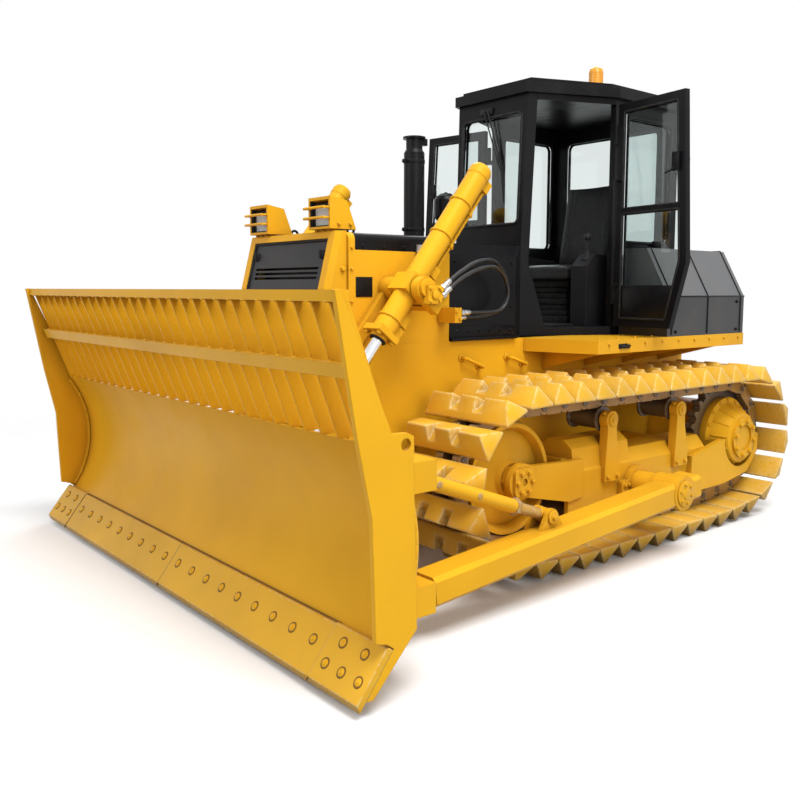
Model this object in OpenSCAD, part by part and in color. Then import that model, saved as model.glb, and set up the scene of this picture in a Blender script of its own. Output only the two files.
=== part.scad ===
// Track-type bulldozer with a six-sided cab and a straight blade with a slatted rack.
// X forward, Y to the machine's left, Z up, millimetres, standing on its track shoes.
// Stations along X are measured from the sprocket axle and shifted to the middle at the end.

/* [Tracks] */
// Distance between the two track centre lines
track_gauge = 1880; // [1800:10:2000]
// Distance from sprocket axle to idler axle
wheelbase = 2370; // [2200:10:2600]
// Chain pitch that the shoe count is worked out from
chain_pitch = 190; // [170:1:210]
// Sprocket radius at the chain's pin line
pin_line_r = 382; // [360:1:400]
// Width of a track shoe
shoe_w = 660; // [560:10:700]
// Height of the shoe's ridge above its plate
ridge_h = 100; // [70:1:120]
// Thickness of the shoe's plate
shoe_plate = 15; // [10:1:20]
// Height of the chain's pin line above the shoe's plate
link_drop = 55; // [50:1:60]
// Height of the link rail on the roller side of the pin line
rail_h = 45; // [35:1:50]
// Width of one link rail
rail_w = 55; // [40:1:60]
// Gap between the two link rails
rail_gap = 80; // [76:1:100]
// How far the rollers push the lower run below the idler and the sprocket
run_drop = 35; // [10:1:60]
// Distance from each axle to the place where the lower run touches the ground
run_in = 330; // [260:10:420]
// Radius of a track roller's tread
roller_r = 85; // [70:1:90]
// Number of track rollers on a side
roller_count = 6; // [4:1:7]
// Radius of a carrier roller's tread
carrier_r = 65; // [50:1:75]

/* [Hull] */
// Gap between the hull's side and the inner end of a track shoe
hull_gap = 110; // [90:5:140]
// Thickness of the main frame's side plates
frame_plate = 40; // [20:1:50]
// Height of the main frame's belly above the ground
belly_z = 440; // [380:5:500]
// Height of the deck that carries the cab and the hood sides
deck_z = 1350; // [1320:5:1400]
// Distance from the sprocket axle to the radiator guard's back
hood_front = 3110; // [3060:5:3160]
// Distance from the sprocket axle to the hood's rear end
hood_rear = 2350; // [2250:5:2450]
// Height of the hood's top
hood_z = 1985; // [1930:5:2040]
// Depth of the hood's top panel at the sides
hood_skirt = 98; // [70:1:130]
// Thickness of hood and guard sheets
sheet = 20; // [12:1:28]
// Width of the guard's frame beside the grille
grille_rim = 85; // [70:5:120]

/* [Cab] */
// Distance from the sprocket axle to the cab's front at the roof
cab_front = 1490; // [1450:5:1530]
// Half width of the cab's front
cab_front_half = 340; // [320:5:380]
// Distance from the sprocket axle to the cab's widest corner, where the door is hung
cab_corner = 880; // [840:5:920]
// Half width of the cab at that corner
cab_half = 600; // [580:5:640]
// Distance from the sprocket axle to the cab's rear wall
cab_rear = 110; // [60:5:160]
// Thickness of the cab's walls
cab_wall = 45; // [35:1:55]
// Height of the cab's floor above the deck
floor_t = 60; // [40:1:80]
// Height of the roof's underside
roof_z = 2990; // [2940:5:3040]
// Thickness of the roof's edge
roof_edge = 70; // [50:1:90]
// Thickness of a door
door_t = 40; // [30:1:46]
// Angle that the doors stand open at
door_open = 104; // [95:1:106]

/* [Blade] */
// Width of the blade over its end plates
blade_w = 3696; // [3400:4:3800]
// Distance from the radiator guard's back to the moldboard's deepest point
blade_gap = 635; // [600:5:700]
// Radius of the moldboard's face
mold_r = 660; // [620:5:720]
// Thickness of the moldboard
mold_t = 16; // [12:1:24]
// Height of the moldboard's deepest point
mold_z = 640; // [620:5:680]
// Height of the moldboard's top edge
mold_top = 1051; // [1000:1:1090]
// Length of the cutting edge down its face
edge_l = 265; // [240:1:268]
// Thickness of the cutting edge
edge_t = 28; // [20:1:32]
// Height of the rack's top
rack_z = 1666; // [1560:2:1720]
// Number of slats in the rack
slat_count = 29; // [20:1:36]
// Thickness of a slat
slat_t = 10; // [6:1:14]
// Depth of a slat
slat_d = 90; // [60:1:110]

/* [Push arms] */
// Distance from the sprocket axle to the trunnion that an arm turns on
pivot_x = 1260; // [1200:5:1320]
// Height of that trunnion
pivot_z = 415; // [390:5:440]
// Radius of the trunnion
pivot_r = 60; // [45:1:65]
// Gap between a track shoe's outer end and an arm
arm_gap = 30; // [20:5:60]
// Width of an arm
arm_w = 180; // [140:5:190]
// Height of an arm
arm_h = 150; // [120:5:170]

/* [Lift rams] */
// Distance from the hull's side to a ram's axis
ram_out = 200; // [180:5:220]
// Distance from the radiator guard's back to the ram's trunnion
ram_back = 272; // [250:2:300]
// Height of the ram's trunnion
ram_z = 1675; // [1650:5:1700]
// Distance from the moldboard's deepest point back to the rod's eye
eye_back = 126.8; // [115:0.1:140]
// Height of the rod's eye with the blade on the ground
eye_z = 698.4; // [680:0.1:720]
// Outer radius of the barrel
barrel_r = 65; // [55:1:70]
// Radius of the rod
rod_r = 35; // [28:1:40]

/* [Hidden] */
// Clearance of a pin in its bore
pin_gap = 0.6;
// Clearance of a pane or a shaft in its seat
seat_gap = 0.3;
// Gap between a hood panel and its neighbour
panel_gap = 0.5;
// Stations of the left side's two hoses, from the yoke's swivel block to the hood's bracket
long_route = [[2715, 870, 1695], [2650, 860, 1740], [2575, 855, 1775], [2505, 840, 1805], [2425, 820, 1830],
    [2350, 795, 1840], [2275, 765, 1845], [2205, 730, 1840], [2135, 690, 1830], [2065, 655, 1805],
    [2000, 625, 1770], [1945, 600, 1715], [1925, 585, 1640], [1950, 580, 1570], [2020, 580, 1525],
    [2100, 580, 1510], [2180, 585, 1500], [2260, 590, 1500], [2340, 590, 1500]];
short_route = [[2715, 870, 1655], [2655, 865, 1695], [2590, 860, 1730], [2525, 850, 1755], [2460, 835, 1775],
    [2395, 820, 1790], [2325, 795, 1800], [2255, 770, 1805], [2185, 735, 1800], [2120, 700, 1785],
    [2055, 670, 1760], [2000, 640, 1720], [1965, 630, 1670], [1960, 620, 1610], [1990, 620, 1560],
    [2045, 620, 1535], [2110, 620, 1530], [2185, 620, 1530], [2260, 625, 1530], [2340, 630, 1530]];
// Facets on round parts
$fn = 64;

// Places that more than one group shares
track_y = track_gauge / 2;
shoe_end = track_y + shoe_w / 2;
hull_half = track_y - shoe_w / 2 - hull_gap;
mold_x = hood_front + blade_gap;
ram_x = hood_front - ram_back;
ram_y = hull_half + ram_out;
arm_in = shoe_end + arm_gap;
arm_y = arm_in + arm_w / 2;

// Shared small shapes

module at(x, y, z) { translate([x - mid_x, y, z]) children(); }

// A profile drawn in X and Z, drawn out in Y from y0 to y1
module slab_y(y0, y1) {
    translate([-mid_x, y1, 0]) rotate([90, 0, 0]) linear_extrude(y1 - y0) children();
}

// A profile drawn in Y and Z, drawn out in X from x0 to x1
module slab_x(x0, x1) {
    translate([x0 - mid_x, 0, 0]) rotate([90, 0, 90]) linear_extrude(x1 - x0) children();
}

// A profile drawn in X and Y, drawn out in Z from z0 to z1
module slab_z(z0, z1) {
    translate([-mid_x, 0, z0]) linear_extrude(z1 - z0) children();
}

// A profile drawn in local X and Z, drawn out in local Y
module upright(y0, y1) {
    translate([0, y1, 0]) rotate([90, 0, 0]) linear_extrude(y1 - y0) children();
}

module box(x0, x1, y0, y1, z0, z1) {
    at(x0, y0, z0) cube([x1 - x0, y1 - y0, z1 - z0]);
}

// A round bar along Y
module bar_y(x, z, y0, y1, r) {
    at(x, y1, z) rotate([90, 0, 0]) cylinder(h = y1 - y0, r = r);
}

// A profile of radius and distance along Y, turned about an axis along Y
module turned_y(x, y, z) {
    at(x, y, z) rotate([-90, 0, 0]) rotate_extrude() children();
}

module both_sides() {
    children();
    mirror([0, 1, 0]) children();
}

module on_side(side) {
    if (side > 0) children();
    else mirror([0, 1, 0]) children();
}

// Turns local Z into direction d
module aim(d) { rotate([0, acos(d[2]), atan2(d[1], d[0])]) children(); }

module rounded(x0, x1, z0, z1, r) {
    translate([x0 + r, z0]) square([x1 - x0 - 2 * r, z1 - z0]);
    translate([x0, z0 + r]) square([x1 - x0, z1 - z0 - 2 * r]);
    for (x = [x0 + r, x1 - r], z = [z0 + r, z1 - r]) translate([x, z]) circle(r);
}

// Track run: pin line of a loop whose lower run is pushed down by the rollers

tip_h = link_drop + shoe_plate + ridge_h;
axle_z = tip_h + pin_line_r + run_drop;
run_d = sqrt(run_in * run_in + (pin_line_r + run_drop) * (pin_line_r + run_drop));
run_a = acos(pin_line_r / run_d) - atan2(run_in, pin_line_r + run_drop);
run_t = sqrt(run_d * run_d - pin_line_r * pin_line_r);
arc_l = pin_line_r * (180 - run_a) * PI / 180;
flat_l = wheelbase - 2 * run_in;
loop_l = wheelbase + 2 * arc_l + 2 * run_t + flat_l;
shoe_count = round(loop_l / chain_pitch);
shoe_step = loop_l / shoe_count;

// Place on the loop at length s: station, height and direction of travel
function loop_at(s) =
    s < wheelbase ? [s, axle_z + pin_line_r, 0] :
    s < wheelbase + arc_l ? let (a = (s - wheelbase) / pin_line_r * 180 / PI)
        [wheelbase + pin_line_r * sin(a), axle_z + pin_line_r * cos(a), -a] :
    s < wheelbase + arc_l + run_t ? let (d = s - wheelbase - arc_l, a = 180 - run_a)
        [wheelbase + pin_line_r * sin(a) + d * cos(a),
         axle_z + pin_line_r * cos(a) - d * sin(a), -a] :
    s < wheelbase + arc_l + run_t + flat_l ?
        [wheelbase - run_in - (s - wheelbase - arc_l - run_t), tip_h, -180] :
    s < wheelbase + arc_l + 2 * run_t + flat_l ?
        let (d = s - wheelbase - arc_l - run_t - flat_l)
        [run_in - d * cos(run_a), tip_h + d * sin(run_a), -180 - run_a] :
    let (a = 180 + run_a + (s - wheelbase - arc_l - 2 * run_t - flat_l) / pin_line_r * 180 / PI)
        [pin_line_r * sin(a), axle_z + pin_line_r * cos(a), -a];

// Straight links run from pin to pin
pins = [for (i = [0 : shoe_count]) loop_at((i % shoe_count) * shoe_step)];
link_turn = shoe_step / 2 / pin_line_r * 180 / PI;

// Outline of the chain, moved out from its pins by n
function pin_out(i, n) = [pins[i][0] - n * sin(pins[i][2]), pins[i][1] + n * cos(pins[i][2])];
module chain_area(n) { polygon([for (i = [0 : shoe_count - 1]) pin_out(i, n)]); }

// Middle and direction of link i
function link_at(i) = let (d = [pins[i + 1][0] - pins[i][0], pins[i + 1][1] - pins[i][1]])
    [pins[i][0] + d[0] / 2, pins[i][1] + d[1] / 2, atan2(d[1], d[0])];

// Ridged shoes stand in the loop's outline, parted by narrow grooves
shoe_gap = 10;
groove = 4;
notch_y = 95;
notch_w = 70;
notch_d = 66;
end_cut = 34;
end_foot = 3;
rail_seat = 2;
half = shoe_step / 2 - shoe_gap / 2;
plate = link_drop + shoe_plate;
ridge = [[-half, plate], [0, tip_h], [half, plate]];
// Place of a point p of link i, along the link and out from it
function on_link(i, p) = let (q = link_at(i))
    [q[0] + p[0] * cos(q[2]) - p[1] * sin(q[2]), q[1] + p[0] * sin(q[2]) + p[1] * cos(q[2])];
module shoe_area() {
    polygon([for (i = [0 : shoe_count - 1]) each concat(
        [pin_out(i, link_drop + groove)], [for (p = ridge) on_link(i, p)])]);
}
// Slanted cut at a ridge's outer end
module end_wedge() {
    rise = tip_h - plate - end_foot;
    side = shoe_w / 2;
    translate([-half - 2, 0, 0]) rotate([90, 0, 90]) linear_extrude(2 * half + 4)
        polygon([[side + end_cut, plate + end_foot - rise], [side - 2 * end_cut, tip_h + rise],
            [side + end_cut, tip_h + rise]]);
}
module track(side) {
    color([0.66, 0.48, 0.16]) translate([-mid_x, side * track_y, 0]) {
        for (y = [-rail_gap / 2 - rail_w, rail_gap / 2]) upright(y, y + rail_w) difference() {
            chain_area(link_drop + rail_seat);
            chain_area(-rail_h);
        }
        difference() {
            upright(-shoe_w / 2, shoe_w / 2) difference() {
                shoe_area();
                chain_area(link_drop);
            }
            for (y = [-notch_y, notch_y]) upright(y - notch_w / 2, y + notch_w / 2) difference() {
                chain_area(2 * tip_h);
                chain_area(tip_h - notch_d);
            }
            for (i = [0 : shoe_count - 1], q = [link_at(i)])
                translate([q[0], 0, q[1]]) rotate([0, -q[2], 0]) both_sides() end_wedge();
        }
    }
}
module track_left() { track(1); }
module track_right() { track(-1); }

// Track frame: channel beam with a sloped top that carries rollers, idler fork and arm trunnion

beam_half = 160;
beam_slope = 65;
skirt_t = 30;
roller_z = tip_h + rail_h + roller_r;
roller_room = 22;
beam_z0 = roller_z + roller_r + roller_room;
shoulder_z = axle_z - 27;
beam_z1 = axle_z + 53;
skirt_z = roller_z - 38;
beam_x0 = 420;
beam_x1 = wheelbase - 460;
fork_in = 125;
fork_out = 172;
fork_foot = 120;
fork_nose = 90;
cap_r = 105;
cap_t = 34;
cover_half = 78;
cover_t = 20;
spring_l = 560;
spring_end = 60;
spring_top = 108;
spring_half = 150;
carrier_x = [beam_x0 + 354, beam_x1 - 376];
carrier_z = axle_z + pin_line_r - rail_h - carrier_r - 1;
carrier_pin = 36;
post_in = 130;
post_out = 190;
post_half = 46;
clamp_r = 58;
hanger_r = 90;
crossbar_x = 1480;
crossbar_l = 160;
saddle_half = 170;
saddle_t = 40;
module beam_section() {
    polygon([[-beam_half, skirt_z], [-beam_half, shoulder_z], [-beam_half + beam_slope, beam_z1],
        [beam_half - beam_slope, beam_z1], [beam_half, shoulder_z], [beam_half, skirt_z],
        [beam_half - skirt_t, skirt_z], [beam_half - skirt_t, beam_z0],
        [-beam_half + skirt_t, beam_z0], [-beam_half + skirt_t, skirt_z]]);
}
// Arched cover over the recoil spring
module spring_section() {
    polygon([[-spring_half, shoulder_z], [-spring_half + 24, beam_z1 + 60],
        [-spring_half + 88, beam_z1 + spring_top], [spring_half - 88, beam_z1 + spring_top],
        [spring_half - 24, beam_z1 + 60], [spring_half, shoulder_z]]);
}
module carrier_post(x) {
    slab_y(track_y + post_in, track_y + post_out) difference() {
        union() {
            polygon([[x - 2 * post_half, shoulder_z - 90], [x - 2 * post_half, shoulder_z],
                [x - post_half, beam_z1 + 120], [x - post_half, carrier_z],
                [x + post_half, carrier_z], [x + post_half, beam_z1 + 120],
                [x + post_half + 16, shoulder_z], [x + post_half + 16, shoulder_z - 90]]);
            translate([x, carrier_z]) circle(clamp_r);
        }
        translate([x, carrier_z]) circle(carrier_pin + seat_gap);
    }
}
// Cradle that runs back under the final drive
cradle_t = 40;
cradle_r = 215;
cradle_tail = 248;
module cradle() {
    slab_y(track_y + beam_half, track_y + beam_half + cradle_t) difference() {
        polygon([[beam_x0 + 220, skirt_z], [beam_x0 - 220, axle_z - 317], [140 - cradle_tail, axle_z - 268],
            [-cradle_tail, axle_z - 125], [-cradle_tail, axle_z + 8], [beam_x0 - 160, axle_z + 8],
            [beam_x0 + 220, shoulder_z - 40]]);
        translate([0, axle_z]) circle(cradle_r);
    }
}
module track_frame(side) {
    color([0.87, 0.63, 0.12]) on_side(side) difference() {
        union() {
            slab_x(beam_x0, beam_x1) translate([track_y, 0]) beam_section();
            slab_x(beam_x1 - spring_end - spring_l, beam_x1 - spring_end) translate([track_y, 0])
                spring_section();
            // fork that holds the idler's bearings, with a round boss and its cover
            for (y = [track_y - fork_out, track_y + fork_in])
                slab_y(y, y + fork_out - fork_in) polygon([[beam_x1 - fork_foot, beam_z0],
                    [beam_x1, skirt_z + 130], [wheelbase + fork_nose - 30, axle_z - 80],
                    [wheelbase + fork_nose, axle_z], [wheelbase + fork_nose - 30, axle_z + 80],
                    [beam_x1, beam_z1], [beam_x1 - fork_foot, beam_z1]]);
            bar_y(wheelbase, axle_z, track_y + fork_out - 1, track_y + fork_out + cap_t, cap_r);
            slab_y(track_y + fork_out + cap_t - 1, track_y + fork_out + cap_t + cover_t)
                rounded(wheelbase - cover_half, wheelbase + cover_half, axle_z - cover_half,
                    axle_z + cover_half, cover_half / 3);
            for (x = carrier_x) carrier_post(x);
            cradle();
            // beams that hang the frame on the hull
            bar_y(beam_x0 + 130, axle_z - 67, hull_half, track_y - beam_half, hanger_r);
            box(crossbar_x, crossbar_x + crossbar_l, hull_half, track_y - beam_half,
                axle_z - 117, axle_z + 23);
            // saddle and trunnion of the push arm
            slab_y(track_y + beam_half, track_y + beam_half + saddle_t) {
                rounded(pivot_x - saddle_half, pivot_x + saddle_half, pivot_z - 58, pivot_z + 42, 20);
                translate([pivot_x, pivot_z]) circle(pivot_r + 58);
            }
            bar_y(pivot_x, pivot_z, track_y + beam_half, arm_in - 8, pivot_r + 32);
            bar_y(pivot_x, pivot_z, arm_in - 8, arm_in + arm_w - 26, pivot_r);
        }
        bar_y(wheelbase, axle_z, track_y + fork_out + cap_t + cover_t - 12,
            track_y + fork_out + cap_t + cover_t + 1, cap_r / 5);
    }
}
module track_frame_left() { track_frame(1); }
module track_frame_right() { track_frame(-1); }

// Dished idler: hub, coned web and flanged rim in one turned casting
wheel_half = 110;
idler_hub = 95;
idler_flange = 26;
module idlers() {
    tread = (pin_line_r - rail_h) * cos(link_turn) - 4;
    guide = rail_gap / 2 - 7;
    color([0.80, 0.58, 0.13]) both_sides() turned_y(wheelbase, track_y, axle_z)
        polygon([[0, -fork_in], [idler_hub, -fork_in], [idler_hub + 15, -wheel_half + 15],
            [tread - 45, -wheel_half / 2], [tread - 26, -wheel_half], [tread, -wheel_half],
            [tread, -guide], [tread + idler_flange, -guide], [tread + idler_flange, guide],
            [tread, guide], [tread, wheel_half], [tread - 26, wheel_half], [tread - 45, wheel_half / 2],
            [idler_hub + 15, wheel_half - 15], [idler_hub, fork_in], [0, fork_in]]);
}

tooth_count = 25;
sprocket_half = 32;
sprocket_bore = 150;
module sprockets() {
    color([0.55, 0.42, 0.18]) both_sides() slab_y(track_y - sprocket_half, track_y + sprocket_half)
        translate([0, axle_z]) difference() {
            union() {
                circle(pin_line_r - 26);
                for (i = [0 : tooth_count - 1]) rotate(i * 360 / tooth_count)
                    polygon([[pin_line_r - 60, -36], [pin_line_r + 14, -11], [pin_line_r + 14, 11],
                        [pin_line_r - 60, 36]]);
            }
            circle(sprocket_bore);
        }
}

// Final drive: drum on the hull's side, coned cover with a hub recess outside the sprocket
drum_r = 250;
cover_r = 285;
hub_r = 150;
hub_out = 232;
module final_drives() {
    color([0.85, 0.62, 0.13]) both_sides() {
        bar_y(0, axle_z, hull_half, track_y - sprocket_half, drum_r);
        turned_y(0, track_y, axle_z) polygon([[0, sprocket_half], [cover_r, sprocket_half],
            [cover_r, sprocket_half + 50], [cover_r - 37, sprocket_half + 60], [hub_r + 32, hub_out - 27],
            [hub_r, hub_out - 18], [hub_r, hub_out], [hub_r - 54, hub_out], [hub_r - 54, hub_out - 14],
            [0, hub_out - 14]]);
    }
}

// A double-flanged roller on its shaft
module flanged(x, z, r, flange, tread_half, shaft, shaft_in, shaft_out) {
    turned_y(x, track_y, z) polygon([[0, -shaft_in], [shaft, -shaft_in], [shaft, -tread_half - 20],
        [r + flange, -tread_half - 18], [r + flange, -tread_half - 3], [r, -tread_half], [r, tread_half],
        [r + flange, tread_half + 3], [r + flange, tread_half + 18], [shaft, tread_half + 20],
        [shaft, shaft_out], [0, shaft_out]]);
}
roller_end = 130;
module track_rollers() {
    color([0.34, 0.27, 0.15]) both_sides()
        for (i = [0 : roller_count - 1])
            flanged(beam_x0 + roller_end + i * (beam_x1 - beam_x0 - 2 * roller_end) / (roller_count - 1),
                roller_z, roller_r, 16, 95, 40, beam_half - skirt_t, beam_half - skirt_t);
}

module carrier_rollers() {
    color([0.30, 0.25, 0.16]) both_sides() for (x = carrier_x)
        flanged(x, carrier_z, carrier_r, 14, 100, carrier_pin, 122, post_out);
}

// Hull

frame_tail = 150;
nose_plate = 30;
nose_plate_z = 880;
module main_frame() {
    color([0.90, 0.66, 0.14]) {
        both_sides() slab_y(hull_half - frame_plate, hull_half)
            polygon([[-frame_tail, belly_z], [hood_front - 130, belly_z], [hood_front, belly_z + 130],
                [hood_front, deck_z], [-frame_tail - 140, deck_z], [-frame_tail, deck_z - 200]]);
        box(-frame_tail, hood_front - 130, -hull_half + frame_plate, hull_half - frame_plate,
            belly_z, belly_z + frame_plate);
        box(hood_front - nose_plate, hood_front, -hull_half + frame_plate, hull_half - frame_plate,
            belly_z + 130, nose_plate_z);
    }
}

engine_rear = 1700;
engine_front = hood_front - 230;
engine_half = hull_half - 180;
top_half = engine_half - 80;
head_gap = 225;
head_z = hood_z - head_gap;
module engine_block() {
    color([0.35, 0.35, 0.34]) {
        box(engine_rear, engine_front, -engine_half, engine_half, belly_z + frame_plate, deck_z - 20);
        box(hood_rear + 20, engine_front, -top_half, top_half, deck_z - 20, head_z);
    }
}

core_t = 148;
core_gap = 32;
module radiator_core() {
    color([0.12, 0.12, 0.12])
        box(hood_front - core_gap - core_t, hood_front - core_gap, -hull_half + frame_plate,
            hull_half - frame_plate, belly_z + 130, hood_z - sheet - 40);
}

// Radiator guard: cast frame with bevelled sides that leans back above its brow
guard_z = hood_z + 5;
guard_half = hull_half - 15;
guard_low = 640;
guard_bevel = 30;
brow_z = 1672;
chin_z = 1400;
guard_nose = 152;
guard_brow = 138;
guard_crown = 56;
grille_half = guard_half - grille_rim;
grille_z0 = guard_low + 260;
grille_z1 = guard_z - 40;
// Front face of the guard, set back by d
function guard_face(d) = [[hood_front + guard_crown - d, guard_z], [hood_front + guard_brow - d, brow_z],
    [hood_front + guard_nose - d, chin_z], [hood_front + guard_nose - d, guard_low]];
module guard_profile(d) {
    polygon(concat([[hood_front, guard_low], [hood_front, guard_z]], guard_face(d)));
}
module radiator_guard() {
    color([0.92, 0.68, 0.15]) difference() {
        hull() {
            slab_y(-guard_half + guard_bevel, guard_half - guard_bevel) guard_profile(0);
            slab_y(-guard_half, guard_half) guard_profile(guard_bevel);
        }
        box(hood_front - 10, hood_front + 2 * guard_nose, -grille_half, grille_half, grille_z0, grille_z1);
    }
}

// Grille: bent panel with louvre slots under its brow and rows of air slots below
grille_inset = 14;
grille_t = 18;
louvre_count = 3;
louvre_z = brow_z + 52;
louvre_h = 14;
louvre_step = 27;
air_rows = 14;
air_z = grille_z0 + 40;
air_h = 26;
air_step = 49;
slot_side = 55;
module radiator_grille() {
    back = guard_face(grille_inset + grille_t);
    x1 = hood_front + 2 * guard_nose;
    color([0.20, 0.20, 0.21]) difference() {
        intersection() {
            slab_y(-grille_half + seat_gap, grille_half - seat_gap)
                polygon(concat(guard_face(grille_inset), [for (i = [3 : -1 : 0]) back[i]]));
            box(hood_front, x1, -grille_half, grille_half, grille_z0 + seat_gap, grille_z1 - seat_gap);
        }
        for (i = [0 : louvre_count - 1], z = louvre_z + i * louvre_step)
            box(hood_front, x1, -grille_half + slot_side, grille_half - slot_side, z, z + louvre_h);
        for (i = [0 : air_rows - 1], z = air_z + i * air_step)
            box(hood_front, x1, -grille_half + slot_side, grille_half - slot_side, z, z + air_h);
    }
}

// Arched hood section down to height z0
hood_corner = 45;
module hood_arch(z0) {
    difference() {
        rounded(-hull_half, hull_half, z0 - 2 * hood_corner, hood_z, hood_corner);
        rounded(-hull_half + sheet, hull_half - sheet, z0 - 3 * hood_corner, hood_z - sheet,
            hood_corner - sheet / 2);
        translate([-hull_half - 1, z0 - 4 * hood_corner]) square([2 * hull_half + 2, 4 * hood_corner]);
    }
}
hood_collar = 45;
module hood_top() {
    color([0.13, 0.13, 0.14]) slab_x(hood_rear, hood_front - hood_collar - panel_gap)
        hood_arch(hood_z - hood_skirt);
}
module hood_sides() {
    color([0.92, 0.68, 0.15]) {
        both_sides() box(hood_rear, hood_front - panel_gap, hull_half - sheet, hull_half, deck_z,
            hood_z - hood_skirt);
        slab_x(hood_front - hood_collar, hood_front - panel_gap) hood_arch(deck_z);
    }
}

// Work lamps on the guard's crown, each a folded box with a guard of two bent bars
lamp_y0 = hull_half - 274;
lamp_y1 = hull_half - 62;
lamp_wall = 14;
lamp_foot = 12;
lamp_nose = 80;
lamp_h = 178;
lamp_roof = 118;
lamp_l = 180;
lamp_bar_r = 8;
lamp_bar_out = 34;
lamp_z = guard_z + lamp_foot;
module lamp_profile(d) {
    polygon([[hood_front + lamp_nose + 2 * d, lamp_z + d], [hood_front + lamp_nose + 2 * d, lamp_z + lamp_h - d],
        [hood_front + lamp_nose - lamp_roof + d, lamp_z + lamp_h - 20 - d],
        [hood_front + lamp_nose - lamp_l + 2 * d, lamp_z + d]]);
}
module lamp_housings() {
    front = hood_front + lamp_nose;
    color([0.92, 0.68, 0.15]) both_sides() {
        difference() {
            slab_y(lamp_y0, lamp_y1) lamp_profile(0);
            slab_y(lamp_y0 + lamp_wall, lamp_y1 - lamp_wall) lamp_profile(lamp_wall);
        }
        for (z = [lamp_z + 60, lamp_z + 116]) {
            bar_y(front + lamp_bar_out, z, lamp_y0 + 4, lamp_y1 - 4, lamp_bar_r);
            for (y = [lamp_y0 + lamp_bar_r + 6, lamp_y1 - lamp_bar_r - 6])
                at(front - 6, y, z) rotate([0, 90, 0]) cylinder(h = lamp_bar_out + 6, r = lamp_bar_r - 1);
        }
        box(hood_front + 4, hood_front + guard_crown - 6, lamp_y0 + 20, lamp_y1 - 20, guard_z, lamp_z + 1);
    }
}
lens_t = 40;
lens_in = 30;
lens_rim = 22;
lens_h = 140;
module lamp_lenses() {
    front = hood_front + lamp_nose - lens_in;
    color([0.85, 0.86, 0.84]) both_sides() slab_x(front - lens_t, front)
        rounded(lamp_y0 + lens_rim, lamp_y1 - lens_rim, lamp_z + lamp_wall + seat_gap, lamp_z + lens_h, 24);
}

// Exhaust: muffler body, narrower neck and a hinged rain flap
cowl_z = 1955;
exhaust_x = hood_rear - 138;
exhaust_h = 690;
muffler_r = 68;
flap_r = 74;
module exhaust_stack() {
    color([0.10, 0.10, 0.10]) at(exhaust_x, 0, cowl_z) {
        rotate_extrude() polygon([[0, 0], [muffler_r, 0], [muffler_r, exhaust_h - 90],
            [muffler_r - 14, exhaust_h - 66], [muffler_r - 14, exhaust_h], [0, exhaust_h]]);
        translate([0, 0, exhaust_h - 1]) cylinder(h = 14, r = flap_r);
        translate([-flap_r - 26, -18, exhaust_h - 34]) cube([60, 36, 44]);
    }
}

cleaner_x = hood_rear - 420;
module air_precleaner() {
    color([0.12, 0.12, 0.12]) at(cleaner_x, 0, cowl_z) rotate_extrude()
        polygon([[0, 0], [48, 0], [48, 180], [70, 196], [78, 206], [78, 318], [66, 340], [36, 360], [0, 360]]);
}

// Cowl between hood and cab, with bevelled shoulders
cab_foot = cab_front + 60;
cab_run = (cab_half - cab_front_half) / (cab_front - cab_corner);
cowl_l = 210;
cowl_out = 30;
cowl_bevel = 70;
// Half width of the cab along its slanted sides
function cab_y(x) = cab_front_half + (cab_front - x) * cab_run;
module cowl() {
    foot_half = cab_y(cab_foot) + cowl_out;
    front = hood_rear - panel_gap;
    color([0.13, 0.13, 0.14]) intersection() {
        slab_z(deck_z, cowl_z) polygon([[front, -hull_half], [front, hull_half],
            [cab_foot + cowl_l, hull_half], [cab_foot, foot_half], [cab_foot, -foot_half],
            [cab_foot + cowl_l, -hull_half]]);
        slab_x(cab_foot - 1, hood_rear + 1) polygon([[-hull_half, deck_z], [hull_half, deck_z],
            [hull_half, cowl_z - cowl_bevel], [hull_half - cowl_bevel, cowl_z],
            [-hull_half + cowl_bevel, cowl_z], [-hull_half, cowl_z - cowl_bevel]]);
    }
}

// Fenders: deck plates with a folded rim, carried by gussets on the hull's sides
tank_gap = 12;
tank_w = 401;
fender_half = cab_half + tank_gap + tank_w + 2;
fender_x0 = -200;
fender_x1 = cab_foot;
fender_nose = 130;
fender_t = 30;
fender_rim = 88;
rim_t = 24;
gusset_t = 20;
module fender_plan(d) {
    polygon([[fender_x0 + d, hull_half], [fender_x1 + fender_nose - d, hull_half],
        [fender_x1 - d, fender_half - d], [fender_x0 + d, fender_half - d]]);
}
module fenders() {
    color([0.91, 0.67, 0.15]) both_sides() {
        slab_z(deck_z - fender_t, deck_z) fender_plan(0);
        slab_z(deck_z - fender_rim, deck_z) difference() {
            fender_plan(0);
            fender_plan(rim_t);
        }
        for (i = [0 : 3], x = fender_x0 + 320 + i * (fender_x1 - fender_x0 - 400) / 3)
            slab_x(x, x + gusset_t) polygon([[hull_half, deck_z - 220], [hull_half, deck_z - fender_t + 1],
                [fender_half - rim_t + 1, deck_z - fender_t + 1], [fender_half - rim_t + 1, deck_z - fender_rim]]);
    }
}

tank_x0 = fender_x0 + 10;
tank_x1 = cab_corner - 80;
tank_z = 1960;
tank_brow = 1625;
tank_shelf = 185;
module side_tanks() {
    color([0.20, 0.20, 0.21]) both_sides() slab_x(tank_x0, tank_x1)
        polygon([[cab_half + tank_gap, deck_z], [fender_half - 2, deck_z], [fender_half - 2, tank_brow],
            [fender_half - tank_shelf, tank_z], [cab_half + tank_gap, tank_z]]);
}
module rear_tank() {
    color([0.20, 0.20, 0.21]) slab_y(-cab_half, cab_half)
        polygon([[tank_x0, deck_z], [cab_rear - tank_gap, deck_z], [cab_rear - tank_gap, tank_z - 60],
            [tank_x0 + 90, tank_z - 60], [tank_x0, tank_brow]]);
}

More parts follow.
